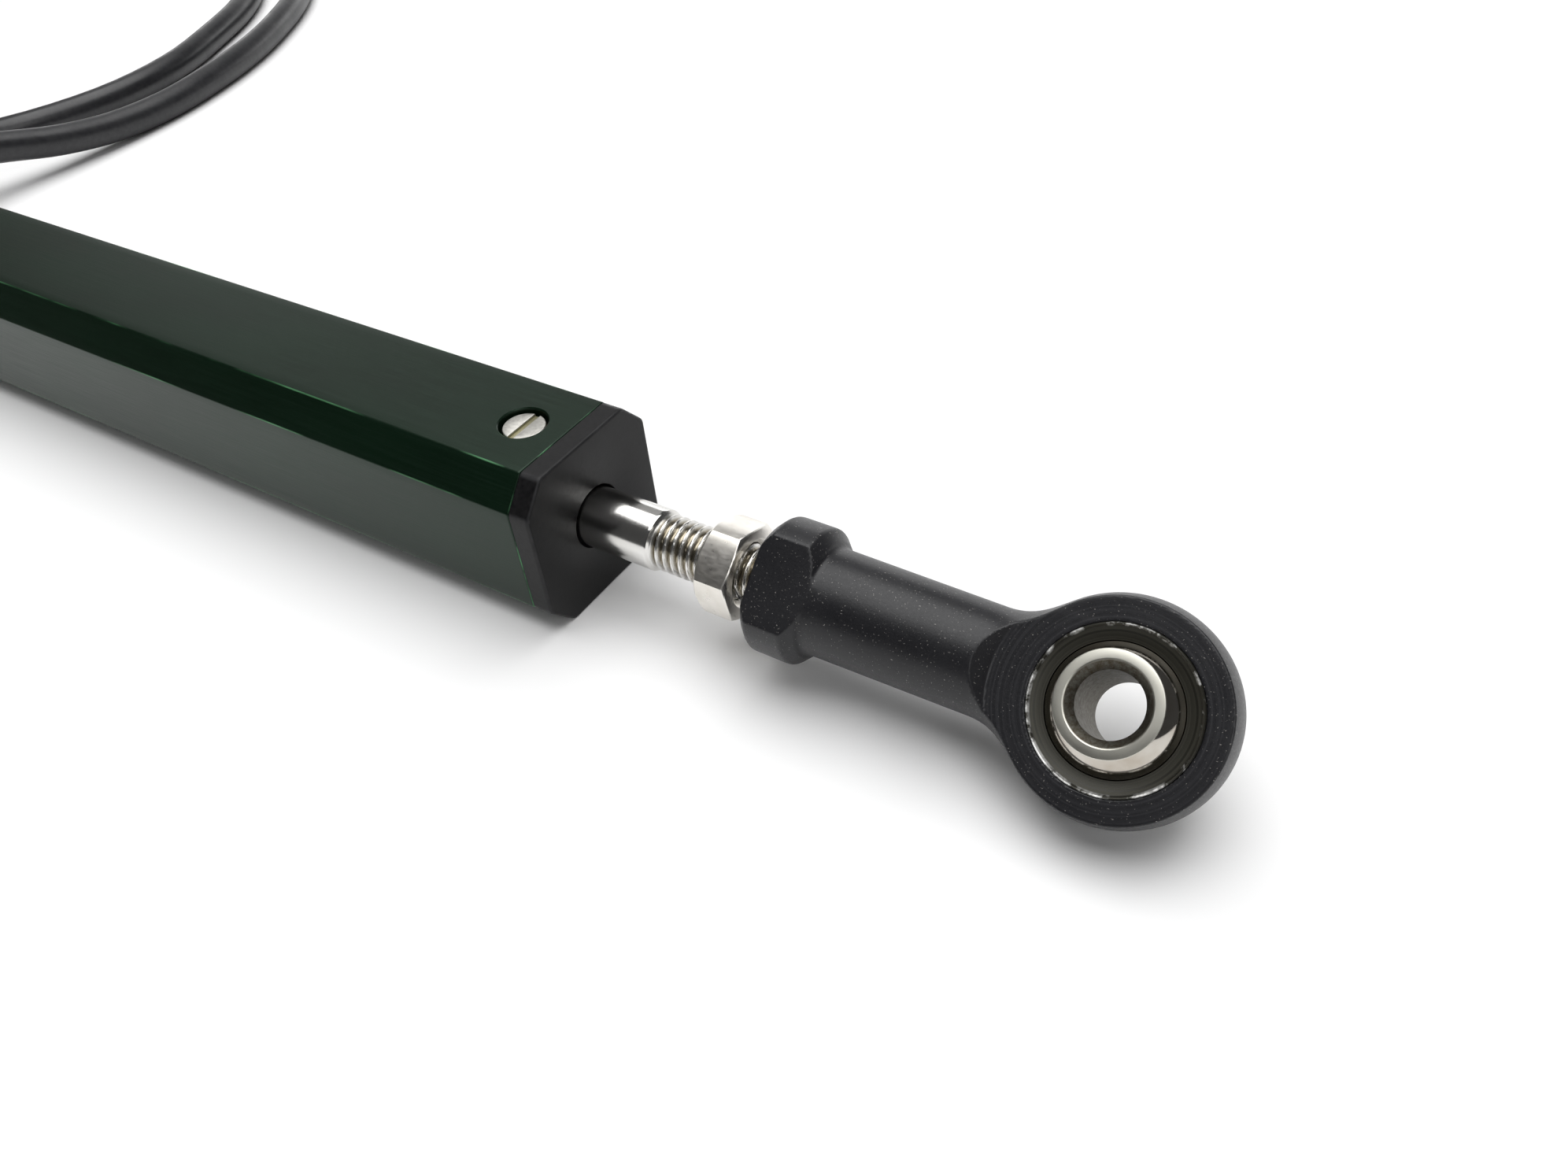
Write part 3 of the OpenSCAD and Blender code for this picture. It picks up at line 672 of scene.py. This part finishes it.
def build_rear_block():
    """Rear end block with its plug, wiring chamber, cable outlet and tapped hole for the stud."""
    radius, bevel = END_CORNER_R, END_BEVEL_R
    rings = rolled_edge(BLOCK_X, 1, radius, bevel, outer_first=False)
    side_length = PROFILE_X - BLOCK_X - 0.08
    count = 4
    for k in range(1, count + 1):
        rings.append(section_ring(BLOCK_X + side_length * k / count, SIZE, CUT_Y, CUT_Z, radius))
    rings.append(section_ring(PROFILE_X, SIZE, CUT_Y, CUT_Z, radius, 0.08))
    base = rings[0][0]
    none = np.zeros(len(base))
    for x in (PROFILE_X, PROFILE_X + REAR_PLUG):
        rings.append(inner_ring(x, PLUG, 0.2))
    for x in (PROFILE_X + REAR_PLUG, BLOCK_X + 4.6):
        rings.append((section_ring(x, 9, 0.8, 0.8, 0.3)[0], none))
    for x, r in ((BLOCK_X + 4.6, 2.5), (BLOCK_X + 0.3, 2.5), (BLOCK_X, 2.8)):
        rings.append((circle_like(base, x, r), none))
    points, weight = stacked(rings)
    obj = add_piece("rear_end_block", points, ring_faces(len(rings), len(base), True), "housing", "black_cap",
                    ["rear_block"], edge=weight)
    outlet = lathe([(2.6, -4.0), (2.6, -0.15), (2.75, 0), (3.2, 0.45)], "Y", 64, closed=False)
    carve(obj, [moved(outlet, (GLAND_X, SIZE / 2, 0))] + pilot_cutters(SCREW_X[1]))


def build_screws():
    """Four slotted cheese heads in their counterbores. The first replaces the CAD's group of screws."""
    top = SIZE / 2 - SCREW_SUNK
    outline = [(0.9, -3.3), (1.0, -3.1), (1.0, -1.3), (1.9, -1.3), (1.9, 0), (0.02, 0)]
    head = [(0.02, -3.3)] + [tuple(p) for p in rounded(outline, 0.14, 3, closed=False)]
    shape = lathe(head, "Z", 64, closed=False)
    slot = box_shape((-0.3, -3, -0.28), (0.3, 3, 1))
    for k, (x, side) in enumerate((x, side) for x in SCREW_X for side in (1, -1)):
        points, faces = moved(shape, (x, 0, side * top), flip=side < 0)
        obj = add_piece(f"cap_screw_{k + 1}", points, faces, "housing", "screw_steel",
                        ["cap_screws"] if k == 0 else ())
        carve(obj, [moved(slot, (x, 0, side * top), flip=side < 0)], soften=0.05)


# ---------- rod and nuts ----------

def thread_radius(x, turn, start, end):
    """Radius of a right-hand thread at places x and angles turn, fading out at both ends."""
    phase = (x / PITCH - turn / (2 * math.pi)) % 1
    crest_share, flank_share = 0.26, 0.60
    flank = np.clip((np.abs(phase - 0.5) * 2 - crest_share) / flank_share, 0, 1)
    flank = flank * flank * (3 - 2 * flank)
    fade = np.clip((x - start) / 0.3, 0, 1) * np.clip((end - x) / 0.5, 0, 1)
    return THREAD_R - THREAD_DEPTH * (1 - flank) * fade


def build_rod():
    """Polished rod with its tail for the carriage and its threaded nose."""
    tail = [(1.7, 57.4), (2.0, 57.7), (2.0, 79.25), (ROD_R - 0.1, 79.25), (ROD_R, 79.35)]
    body = [(ROD_R, x) for x in np.linspace(84, SHOULDER_X - 0.4, 12)]
    nose = [(ROD_R - 0.005, SHOULDER_X - 0.20), (ROD_R - 0.02, SHOULDER_X - 0.16),
            (THREAD_R + 0.02, SHOULDER_X - 0.02), (THREAD_R, SHOULDER_X)]
    smooth_part = tail + body + nose
    sides = 96
    turn = np.arange(sides) * 2 * math.pi / sides
    end = SHANK_X + 3
    rows = [(np.full(sides, r), x) for r, x in smooth_part]
    step = 0.06
    for x in np.arange(SHOULDER_X + step, end, step):
        rows.append((thread_radius(np.full(sides, x), turn, SHOULDER_X, end), x))
    rows += [(np.full(sides, r), x) for r, x in ((2.5, end), (2.5, SHANK_X + 11.5), (2.0, SHANK_X + 12))]
    points = [(x, r * math.cos(a), r * math.sin(a)) for ring, x in rows for r, a in zip(ring, turn)]
    faces = ring_faces(len(rows), sides, False)
    add_piece("polished_rod", points, faces, "rod", "rod_steel", ["actuator_rod"])


def build_nut(name, x, turn_degrees, body, node):
    """Thin hexagon nut with both faces chamfered; each column has a row just where cone and flat meet."""
    height, half_flats, cone_r, tip_r = 3.2, 4.0, 3.85, 4.52
    corner_power = 12
    chamfer_slope = 0.55
    sides = 192
    columns = []
    for k in range(sides):
        angle = k * 2 * math.pi / sides
        hexagon = half_flats / math.cos((angle + math.pi / 6) % (math.pi / 3) - math.pi / 6)
        reach = (hexagon ** -corner_power + tip_r ** -corner_power) ** (-1 / corner_power)
        drop = (reach - cone_r) * chamfer_slope
        middle = (cone_r + reach) / 2
        side = [(2.55, 0.45), (2.95, 0.05), (3.05, 0), (cone_r - 0.12, 0), (cone_r, 0.03),
                (middle, drop * 0.42), (reach - 0.04, drop * 0.88), (reach, drop + 0.06)]
        column = side + [(r, height - z) for r, z in reversed(side)]
        columns.append([(z, r * math.cos(angle), r * math.sin(angle)) for r, z in column])
    columns = np.array(columns).transpose(1, 0, 2)
    edge = np.zeros(columns.shape[:2])
    # These rows, where the chamfers meet the flats, carry a painted highlight
    edge[[5, 6, 9, 10]] = 0.5
    place = Matrix.Translation((x * MM, 0, 0)) @ Matrix.Rotation(math.radians(turn_degrees), 4, "X")
    add_piece(name, columns.reshape(-1, 3), ring_faces(len(columns), sides, True), body, "nut_steel", [node],
              matrix=place, edge=edge, sharp=20)


# ---------- rod ends ----------

def soft_min(a, b, k):
    """Smaller of two distances, blended over k where they are close."""
    h = np.clip(0.5 + 0.5 * (b - a) / k, 0, 1)
    return b + (a - b) * h - k * h * (1 - h)


def soft_max(a, b, k):
    """Larger of two distances, blended in the same way."""
    return -soft_min(-a, -b, k)


def rod_end_distance(p, head_r):
    """Signed distance from the rod end body: eye at the origin, shank towards -X, bore along Z."""
    x, y, z = p[..., 0], p[..., 1], p[..., 2]
    from_bore, from_shank, height = np.hypot(x, y), np.hypot(y, z), np.abs(z)
    diagonal = math.sqrt(0.5)

    crown = head_r - CROWN * (np.minimum(height, HEAD_HALF * 1.1) / HEAD_HALF) ** 2
    head = soft_max((from_bore - crown) * 0.9, height - HEAD_HALF, 0.10)
    neck_r = NECK_R - NECK_TAPER * (x + 8)
    neck = np.maximum(from_shank - neck_r, np.maximum(-26 - x, x))
    # The neck is cut off level with the head's faces, and rises beyond STEP_R from the bore's axis
    rise = (height - HEAD_HALF - 1.17 * np.maximum(from_bore - STEP_R, 0)) * 0.65

    ends = soft_max(COLLAR_START - x, x - COLLAR_END, 0.1)
    start_bevel = from_shank - (COLLAR_R - START_BEVEL) - (x - COLLAR_START)
    end_bevel = from_shank - (COLLAR_R - END_BEVEL) + (x - COLLAR_END)
    bevels = soft_max(start_bevel * diagonal, end_bevel * diagonal, 0.1)
    collar = soft_max(soft_max(from_shank - COLLAR_R, ends, 0.12), bevels, 0.15)

    body = soft_max(soft_min(head, neck, 2.4), rise, 0.08)
    body = soft_min(body, collar, 0.6)
    body = soft_max(body, np.minimum(height - FLAT_HALF, FLAT_END - x), 0.08)
    body = soft_max(body, SEAT_R - from_bore, 0.06)

    hole = np.maximum(np.maximum(from_shank - TAP_R, x - TAP_END), -40 - x)
    mouth = np.maximum((from_shank - MOUTH_R + (x - COLLAR_START)) * diagonal, x + 28)
    return soft_max(body, -np.minimum(hole, mouth), 0.06)


def gradient(distance, p, step=0.03):
    """Unit vectors along which the distance grows."""
    slopes = [distance(p + d) - distance(p - d) for d in np.eye(3) * step]
    slopes = np.stack(slopes, axis=-1)
    return slopes / np.maximum(np.linalg.norm(slopes, axis=-1, keepdims=True), 1e-9)


def surface_net(distance, low, high, step):
    """Points, quads and normals of the zero surface, with one point in each grid cell that it crosses."""
    low = np.array(low)
    counts = np.ceil((np.array(high) - low) / step).astype(int)
    grid = np.stack(np.meshgrid(*[np.arange(n + 1) for n in counts], indexing="ij"), axis=-1)
    inside = distance(low + grid * step) < 0
    corners = np.zeros(counts, dtype=int)
    for i in (0, 1):
        for j in (0, 1):
            for k in (0, 1):
                corners += inside[i:i + counts[0], j:j + counts[1], k:k + counts[2]]
    crossed = (corners > 0) & (corners < 8)
    index = np.full(counts, -1)
    index[crossed] = np.arange(crossed.sum())
    centres = low + (np.argwhere(crossed) + 0.5) * step
    points = centres.copy()
    reach = 0.62 * step
    for _ in range(5):
        points -= gradient(distance, points) * distance(points)[:, None]
        points = np.clip(points, centres - reach, centres + reach)
    quads = []
    for axis in range(3):
        one, two = [a for a in range(3) if a != axis]
        near = np.take(inside, range(counts[axis]), axis)
        far = np.take(inside, range(1, counts[axis] + 1), axis)
        for change, forward in ((near & ~far, True), (~near & far, False)):
            at = np.argwhere(change)
            for side in (one, two):
                at = at[(at[:, side] > 0) & (at[:, side] < counts[side])]
            cells = []
            for back_one, back_two in ((0, 0), (1, 0), (1, 1), (0, 1)):
                cell = at.copy()
                cell[:, one] -= back_one
                cell[:, two] -= back_two
                cells.append(index[tuple(cell.T)])
            quad = np.stack(cells, axis=1)
            # Two of the three axis pairs (X,Y and Y,Z) turn one way and X,Z the other
            if forward == (axis != 1):
                quads.append(quad)
            else:
                quads.append(quad[:, ::-1])
    return points, np.concatenate(quads).tolist(), gradient(distance, points, 0.06)


# The front eye is rolled about the rod and its ball stands tilted. The rear eye faces backward, upright.
FRONT_EYE = Matrix.Translation((EYE_X * MM, 0, 0)) @ Matrix.Rotation(math.radians(43.5), 4, "X")
FRONT_TILT = Matrix.Rotation(math.radians(-4.8), 4, "X") @ Matrix.Rotation(math.radians(-4.7), 4, "Y")
FRONT_BALL = FRONT_EYE @ FRONT_TILT
REAR_EYE = Matrix.Rotation(math.pi, 4, "Z") @ Matrix.Rotation(math.pi / 2, 4, "X")


def build_rod_ends():
    """Both rod end bodies, each the surface where its distance is zero."""
    step = 0.2
    low, high = (COLLAR_START - 0.5, -9.0, -6.3), (9.0, 9.0, 6.3)
    for side, body, place in (("front", "rod", FRONT_EYE), ("rear", "housing", REAR_EYE)):
        def distance(p, head_r=HEAD_R[side]):
            return rod_end_distance(p, head_r)

        points, quads, normals = surface_net(distance, low, high, step)
        add_piece(f"{side}_rod_end_body", points, quads, body, "rod_end_black", [f"{side}_rod_end"],
                  matrix=place, normals=normals)


def build_bearings():
    """Race with its swaged lips, and the bored ball, for both eyes."""
    gap = 0.05
    inner = [(math.sqrt((BALL_R + gap) ** 2 - z * z), z) for z in np.linspace(-2.7, 2.7, 15)]
    lip = [(5.02, 2.72), (5.86, 2.88), (5.99, 3.00), (6.03, 3.07), (6.08, 3.09), (6.14, 3.05), (6.19, 2.95)]
    # Weights of the lip's wear and of its painted highlights
    lip_weight = [0, 0, 0.7, 1, 1, 1, 0]
    race = inner + lip + [(r, -z) for r, z in reversed(lip)]
    weight = [0] * len(inner) + lip_weight + lip_weight[::-1]
    sides = 128
    race_points, race_faces = lathe(race, "Z", sides)
    race_edge = np.repeat(weight, sides)

    rim = math.sqrt(BALL_R ** 2 - BALL_HALF ** 2)
    last = BALL_HALF - 0.07
    sphere = [(math.sqrt(BALL_R ** 2 - z * z), z) for z in np.linspace(last, -last, 49)]
    side = [(2.5, 3.28), (2.56, 3.40), (3.10, 3.95), (3.20, BALL_HALF), (rim - 0.05, BALL_HALF),
            (rim + 0.02, BALL_HALF - 0.02)]
    ball = side + sphere + [(r, -z) for r, z in reversed(side)]
    ball_points, ball_faces = lathe(ball, "Z", sides)
    for name, body, ball_body, eye, turned in (
            ("front", "rod", "front_ball", FRONT_EYE, FRONT_BALL),
            ("rear", "housing", "rear_ball", REAR_EYE, REAR_EYE)):
        add_piece(f"{name}_race_ring", race_points, race_faces, body, "race_metal", [f"{name}_race"],
                  matrix=eye, edge=race_edge)
        add_piece(f"{name}_bored_ball", ball_points, ball_faces, ball_body, "ball_steel", [f"{name}_ball"],
                  matrix=turned, sharp=18)


# ---------- cable ----------

# Centre line of the cable where it is not coiled, up to the coil's outer turn
ROUTE = [
    (40.7, 22, 0), (41.3, 29, -1.8), (42.3, 37, -3.8), (42.6, 46, -5.2), (42, 56, LIE_Z),
    (40, 66, LIE_Z), (36, 78, LIE_Z), (30, 90, LIE_Z), (21.5, 103, LIE_Z), (11, 114, LIE_Z),
    (-3, 122, LIE_Z), (-20, 125, LIE_Z), (-37, 121, LIE_Z), (-51, 111, LIE_Z), (-62, 97, LIE_Z),
    (-70, 80, LIE_Z), (-74, 62, LIE_Z), (-75, 44, LIE_Z), (-73, 26, LIE_Z), (-67, 9, LIE_Z),
    (-56, -5, LIE_Z), (-41, -12.5, LIE_Z), (-26, -11, LIE_Z), (-14, -2, LIE_Z), (-5, 9, LIE_Z),
    (5, 18, LIE_Z), (15.5, 27, LIE_Z), (25, 38, LIE_Z), (29.5, 53, LIE_Z), (28, 68, LIE_Z),
    (22, 82, LIE_Z), (14, 96, LIE_Z), (4, 107, LIE_Z), (-9, 115, LIE_Z), (-25, 116, LIE_Z),
    (-40, 109, LIE_Z), (-52, 97, LIE_Z), (-60, 82, LIE_Z), (-64, 64, LIE_Z), (-65, 45, LIE_Z),
    (-64.5, 25, LIE_Z)]


def smooth(points, steps):
    """Points on the smooth curve through a list of points."""
    p = [np.array(q, dtype=float) for q in points]
    last = len(p) - 1
    line = []
    for i in range(last):
        a, b, c, d = p[max(i - 1, 0)], p[i], p[i + 1], p[min(i + 2, last)]
        for t in np.arange(steps) / steps:
            line.append(0.5 * (2 * b + (c - a) * t + (2 * a - 5 * b + 4 * c - d) * t * t
                               + (3 * b - a - 3 * c + d) * t ** 3))
    return line + [p[last]]


def ease(value, start, end):
    """0 up to start, 1 from end on, and smooth between them."""
    t = min(max((value - start) / (end - start), 0), 1)
    return t * t * (3 - 2 * t)


def coil_point(degrees):
    """Point of the coil: an outer turn from 180 degrees, an inner turn, then a part turn on top of both."""
    radius = OUTER_R + (INNER_R - OUTER_R) * ease(degrees, 480, 535)
    radius += (TOP_R - INNER_R) * ease(degrees, 890, 940)
    height = LIE_Z + CABLE_D * ease(degrees, 815, 890)
    angle = math.radians(degrees)
    return np.array((COIL_X + radius * math.cos(angle), COIL_Y + radius * math.sin(angle), height))


def cable_line():
    """The whole centre line, exactly as long as the cable, and the angle round the coil where it ends."""
    line = smooth(ROUTE, 4)
    line[0] = np.array((GLAND_X, 21.5, 0))
    length = sum(np.linalg.norm(b - a) for a, b in zip(line, line[1:]))
    degrees = 180.0
    turn = 7.5
    while length < CABLE_LENGTH:
        degrees += turn
        point = coil_point(degrees)
        step = np.linalg.norm(point - line[-1])
        if length + step > CABLE_LENGTH:
            point = line[-1] + (point - line[-1]) * (CABLE_LENGTH - length) / step
            degrees -= turn * (1 - (CABLE_LENGTH - length) / step)
            step = CABLE_LENGTH - length
        line.append(point)
        length += step
    return line, degrees


def build_cable():
    """The cable as one curve, and the angle round the coil at which it ends."""
    line, end_degrees = cable_line()
    curve = bpy.data.curves.new("cable", "CURVE")
    curve.dimensions = "3D"
    spline = curve.splines.new("POLY")
    spline.points.add(len(line) - 1)
    for point, place in zip(spline.points, line):
        point.co = (*(place * MM), 1)
    curve.bevel_depth = CABLE_D / 2 * MM
    curve.bevel_resolution = 6
    curve.use_fill_caps = True
    curve.materials.append(FINISHES["cable_jacket"])
    spline.use_smooth = True
    obj = bpy.data.objects.new("cable", curve)
    bpy.context.collection.objects.link(obj)
    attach(obj, "housing")
    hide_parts("signal_cable", "cable_coil")
    return obj, end_degrees


def tube(line, radii, sides=16):
    """Points and faces of a round tube along a line, with a radius at each point."""
    line = [np.asarray(p, dtype=float) for p in line]
    points = []
    for i, p in enumerate(line):
        along = line[min(i + 1, len(line) - 1)] - line[max(i - 1, 0)]
        along = along / np.linalg.norm(along)
        side = np.cross(along, (0, 0, 1))
        side = side / np.linalg.norm(side)
        up = np.cross(side, along)
        points += [p + radii[i] * (math.cos(a) * side + math.sin(a) * up)
                   for a in np.arange(sides) * 2 * math.pi / sides]
    return points, ring_faces(len(line), sides, False)


def build_tails(end_degrees):
    """Three conductors from the cable's end, lying along the coil, their last few millimetres bare."""
    tails = []
    in_jacket, spread = 3, 66
    count, bare_from = 27, 18
    for k, colour in ((-1, "red"), (0, "white"), (1, "black")):
        line = []
        for s in np.linspace(0, 1, count):
            degrees = end_degrees - in_jacket + spread * s
            radius = TOP_R + k * (1.05 + 1.4 * ease(s, 0.1, 0.9))
            height = LIE_Z + CABLE_D - 1.75 * ease(s, 0.05, 0.45) + 0.25 * math.sin(6 * s + k)
            angle = math.radians(degrees)
            line.append((COIL_X + radius * math.cos(angle), COIL_Y + radius * math.sin(angle), height))
        insulated = line[:bare_from + 2]
        points, faces = tube(insulated, [0.55] * (len(insulated) - 1) + [0.45])
        obj = add_piece(f"wire_tail_{colour}", points, faces, "housing", "conductors",
                        ["wire_tails"] if k == -1 else (), sharp=50)
        obj.data.materials[0] = WIRES[colour]
        points, faces = tube(line[bare_from:], [0.30 + 0.02 * (i % 2) for i in range(count - bare_from)])
        bare = add_piece(f"wire_end_{colour}", points, faces, "housing", "conductors", sharp=50)
        bare.data.materials[0] = TINNED
        tails += [obj, bare]
    return tails


def build_gland():
    """Tapered strain relief, grooved so that it bends with the cable."""
    start = SIZE / 2
    ribs, length, flange = 5, 16.5, 1.6
    step = (length - flange - 3) / ribs
    profile = [(2.26, 4.7), (2.6, 4.7), (2.6, start - 0.02), (4.0, start), (4.0, start + flange - 0.3),
               (3.7, start + flange), (3.3, start + flange + 0.1)]
    for k in range(ribs):
        y, r = start + flange + 1 + k * step, 3.3 - 0.12 * k
        profile += [(r, y), (r, y + 0.6 * step), (r - 0.45, y + 0.68 * step), (r - 0.45, y + 0.92 * step)]
    profile += [(2.75, start + length - 1.6), (2.6, start + length - 0.2), (2.26, start + length)]
    points, faces = lathe(rounded(profile, 0.18, 4), "Y", 72)
    points = points + np.array((GLAND_X, 0, 0))
    add_piece("strain_relief", points, faces, "housing", "gland_rubber", ["cable_gland"], sharp=40)


def build_tie():
    """Strap drawn round the coil's bundle, with its head on top and a short cut tail."""
    centre_y = COIL_Y - TOP_R
    thick, wide = 0.9, 3.6
    reach = CABLE_D / 2 + thick / 2
    circles = [(centre_y - CABLE_D / 2, LIE_Z), (centre_y + CABLE_D / 2, LIE_Z), (centre_y, LIE_Z + CABLE_D)]
    loop = []
    arcs = ((-1.5, -3.15), (-0.5, 0.15), (0.15, 2.99))
    for (y, z), (start, end) in zip(circles, arcs):
        loop.append([(y + reach * math.cos(a), max(z + reach * math.sin(a), FLOOR_Z + thick / 2))
                     for a in np.linspace(start, end, 7)])
    around = loop[1] + loop[2] + loop[0][::-1]
    points, weight = [], []
    middle = np.array((centre_y, LIE_Z + 1.5))
    for y, z in around:
        out = np.array((y, z)) - middle
        out = out / np.linalg.norm(out) * thick / 2
        for dx, side in ((-wide / 2, 0.7), (-wide / 2 + 0.25, 1), (wide / 2 - 0.25, 1), (wide / 2, 0.7),
                         (wide / 2, -0.7), (wide / 2 - 0.25, -1), (-wide / 2 + 0.25, -1), (-wide / 2, -0.7)):
            points.append((COIL_X + dx, y + out[0] * side, z + out[1] * side))
    strap = add_piece("tie_strap", points, ring_faces(len(around), 8, True), "housing", "tie_plastic",
                      ["cable_tie"], sharp=45)
    top = LIE_Z + CABLE_D * 1.5 + thick
    head_points, head_faces = box_shape((COIL_X - 2.6, centre_y - 2.3, top - 0.6),
                                        (COIL_X + 2.6, centre_y + 2.3, top + 2.4))
    head = add_piece("tie_head", head_points, head_faces, "housing", "tie_plastic")
    slit = box_shape((COIL_X - 1.9, centre_y - 3, top + 0.3), (COIL_X + 1.9, centre_y + 3, top + 1.3))
    carve(head, [slit], soften=0.4)
    tail = [(centre_y - 3 - 0.9 * k, top + 0.8 - 0.10 * k * k) for k in range(5)]
    tail = [(centre_y + 1.5, top + 0.8)] + tail
    points = [(COIL_X + dx, y, z + dz) for y, z in tail
              for dx, dz in ((-1.7, -0.35), (1.7, -0.35), (1.7, 0.35), (-1.7, 0.35))]
    cut_tail = add_piece("tie_tail", points, ring_faces(len(tail), 4, False), "housing", "tie_plastic")
    return [strap, head, cut_tail]


cable, cable_end = build_cable()
cable_parts = build_tails(cable_end) + build_tie()
build_gland()
build_housing()
build_cover()
build_rear_block()
build_screws()
build_rod()
build_nut("front_thin_nut", SHOULDER_X + 5.65, 10.9, "lock_nut", "front_lock_nut")
build_nut("rear_thin_nut", 29.4, 0, "housing", "rear_lock_nut")
build_rod_ends()
build_bearings()

# ---------- floor and light ----------

floor_mesh = bpy.data.meshes.new("floor")
half = 3.0
floor_mesh.from_pydata([(-half, -half, 0), (half, -half, 0), (half, half, 0), (-half, half, 0)], [],
                       [(0, 1, 2, 3)])
floor = bpy.data.objects.new("floor", floor_mesh)
floor.location.z = FLOOR_Z * MM
bpy.context.collection.objects.link(floor)
paper = Finish("floor_paper", Roughness=0.7, Specular_IOR_Level=0.2)
paper.set("Base Color", paper.mix(paper.noise((3, 3, 3), 2), (0.93, 0.93, 0.93), (0.95, 0.95, 0.95)))
floor_mesh.materials.append(paper.material)


def add_light(name, place, target, size, power):
    """A soft rectangular light that looks at a point."""
    data = bpy.data.lights.new(name, "AREA")
    data.shape = "RECTANGLE"
    data.size, data.size_y = size
    data.energy = power
    obj = bpy.data.objects.new(name, data)
    obj.location = place
    obj.rotation_euler = (Vector(target) - Vector(place)).to_track_quat("-Z", "Y").to_euler()
    bpy.context.collection.objects.link(obj)


add_light("overhead", (0.10, 0.15, 1.0), (0.13, 0, 0), (1.2, 1.2), 15)
add_light("back_left", (-0.7, 0.7, 0.55), (0.12, 0, 0), (0.8, 0.6), 0.5)
add_light("back_strip", (-0.25, 0.9, 0.14), (0.15, 0, 0), (1.6, 0.24), 2.5)
add_light("front_right", (0.9, -0.5, 0.7), (0.2, 0, 0), (0.5, 0.5), 2)

world = bpy.data.worlds.new("studio")
world.use_nodes = True
world.node_tree.nodes["Background"].inputs["Color"].default_value = (1, 1, 1, 1)
world.node_tree.nodes["Background"].inputs["Strength"].default_value = 0.06
bpy.context.scene.world = world
bpy.context.scene.view_settings.view_transform = "Standard"
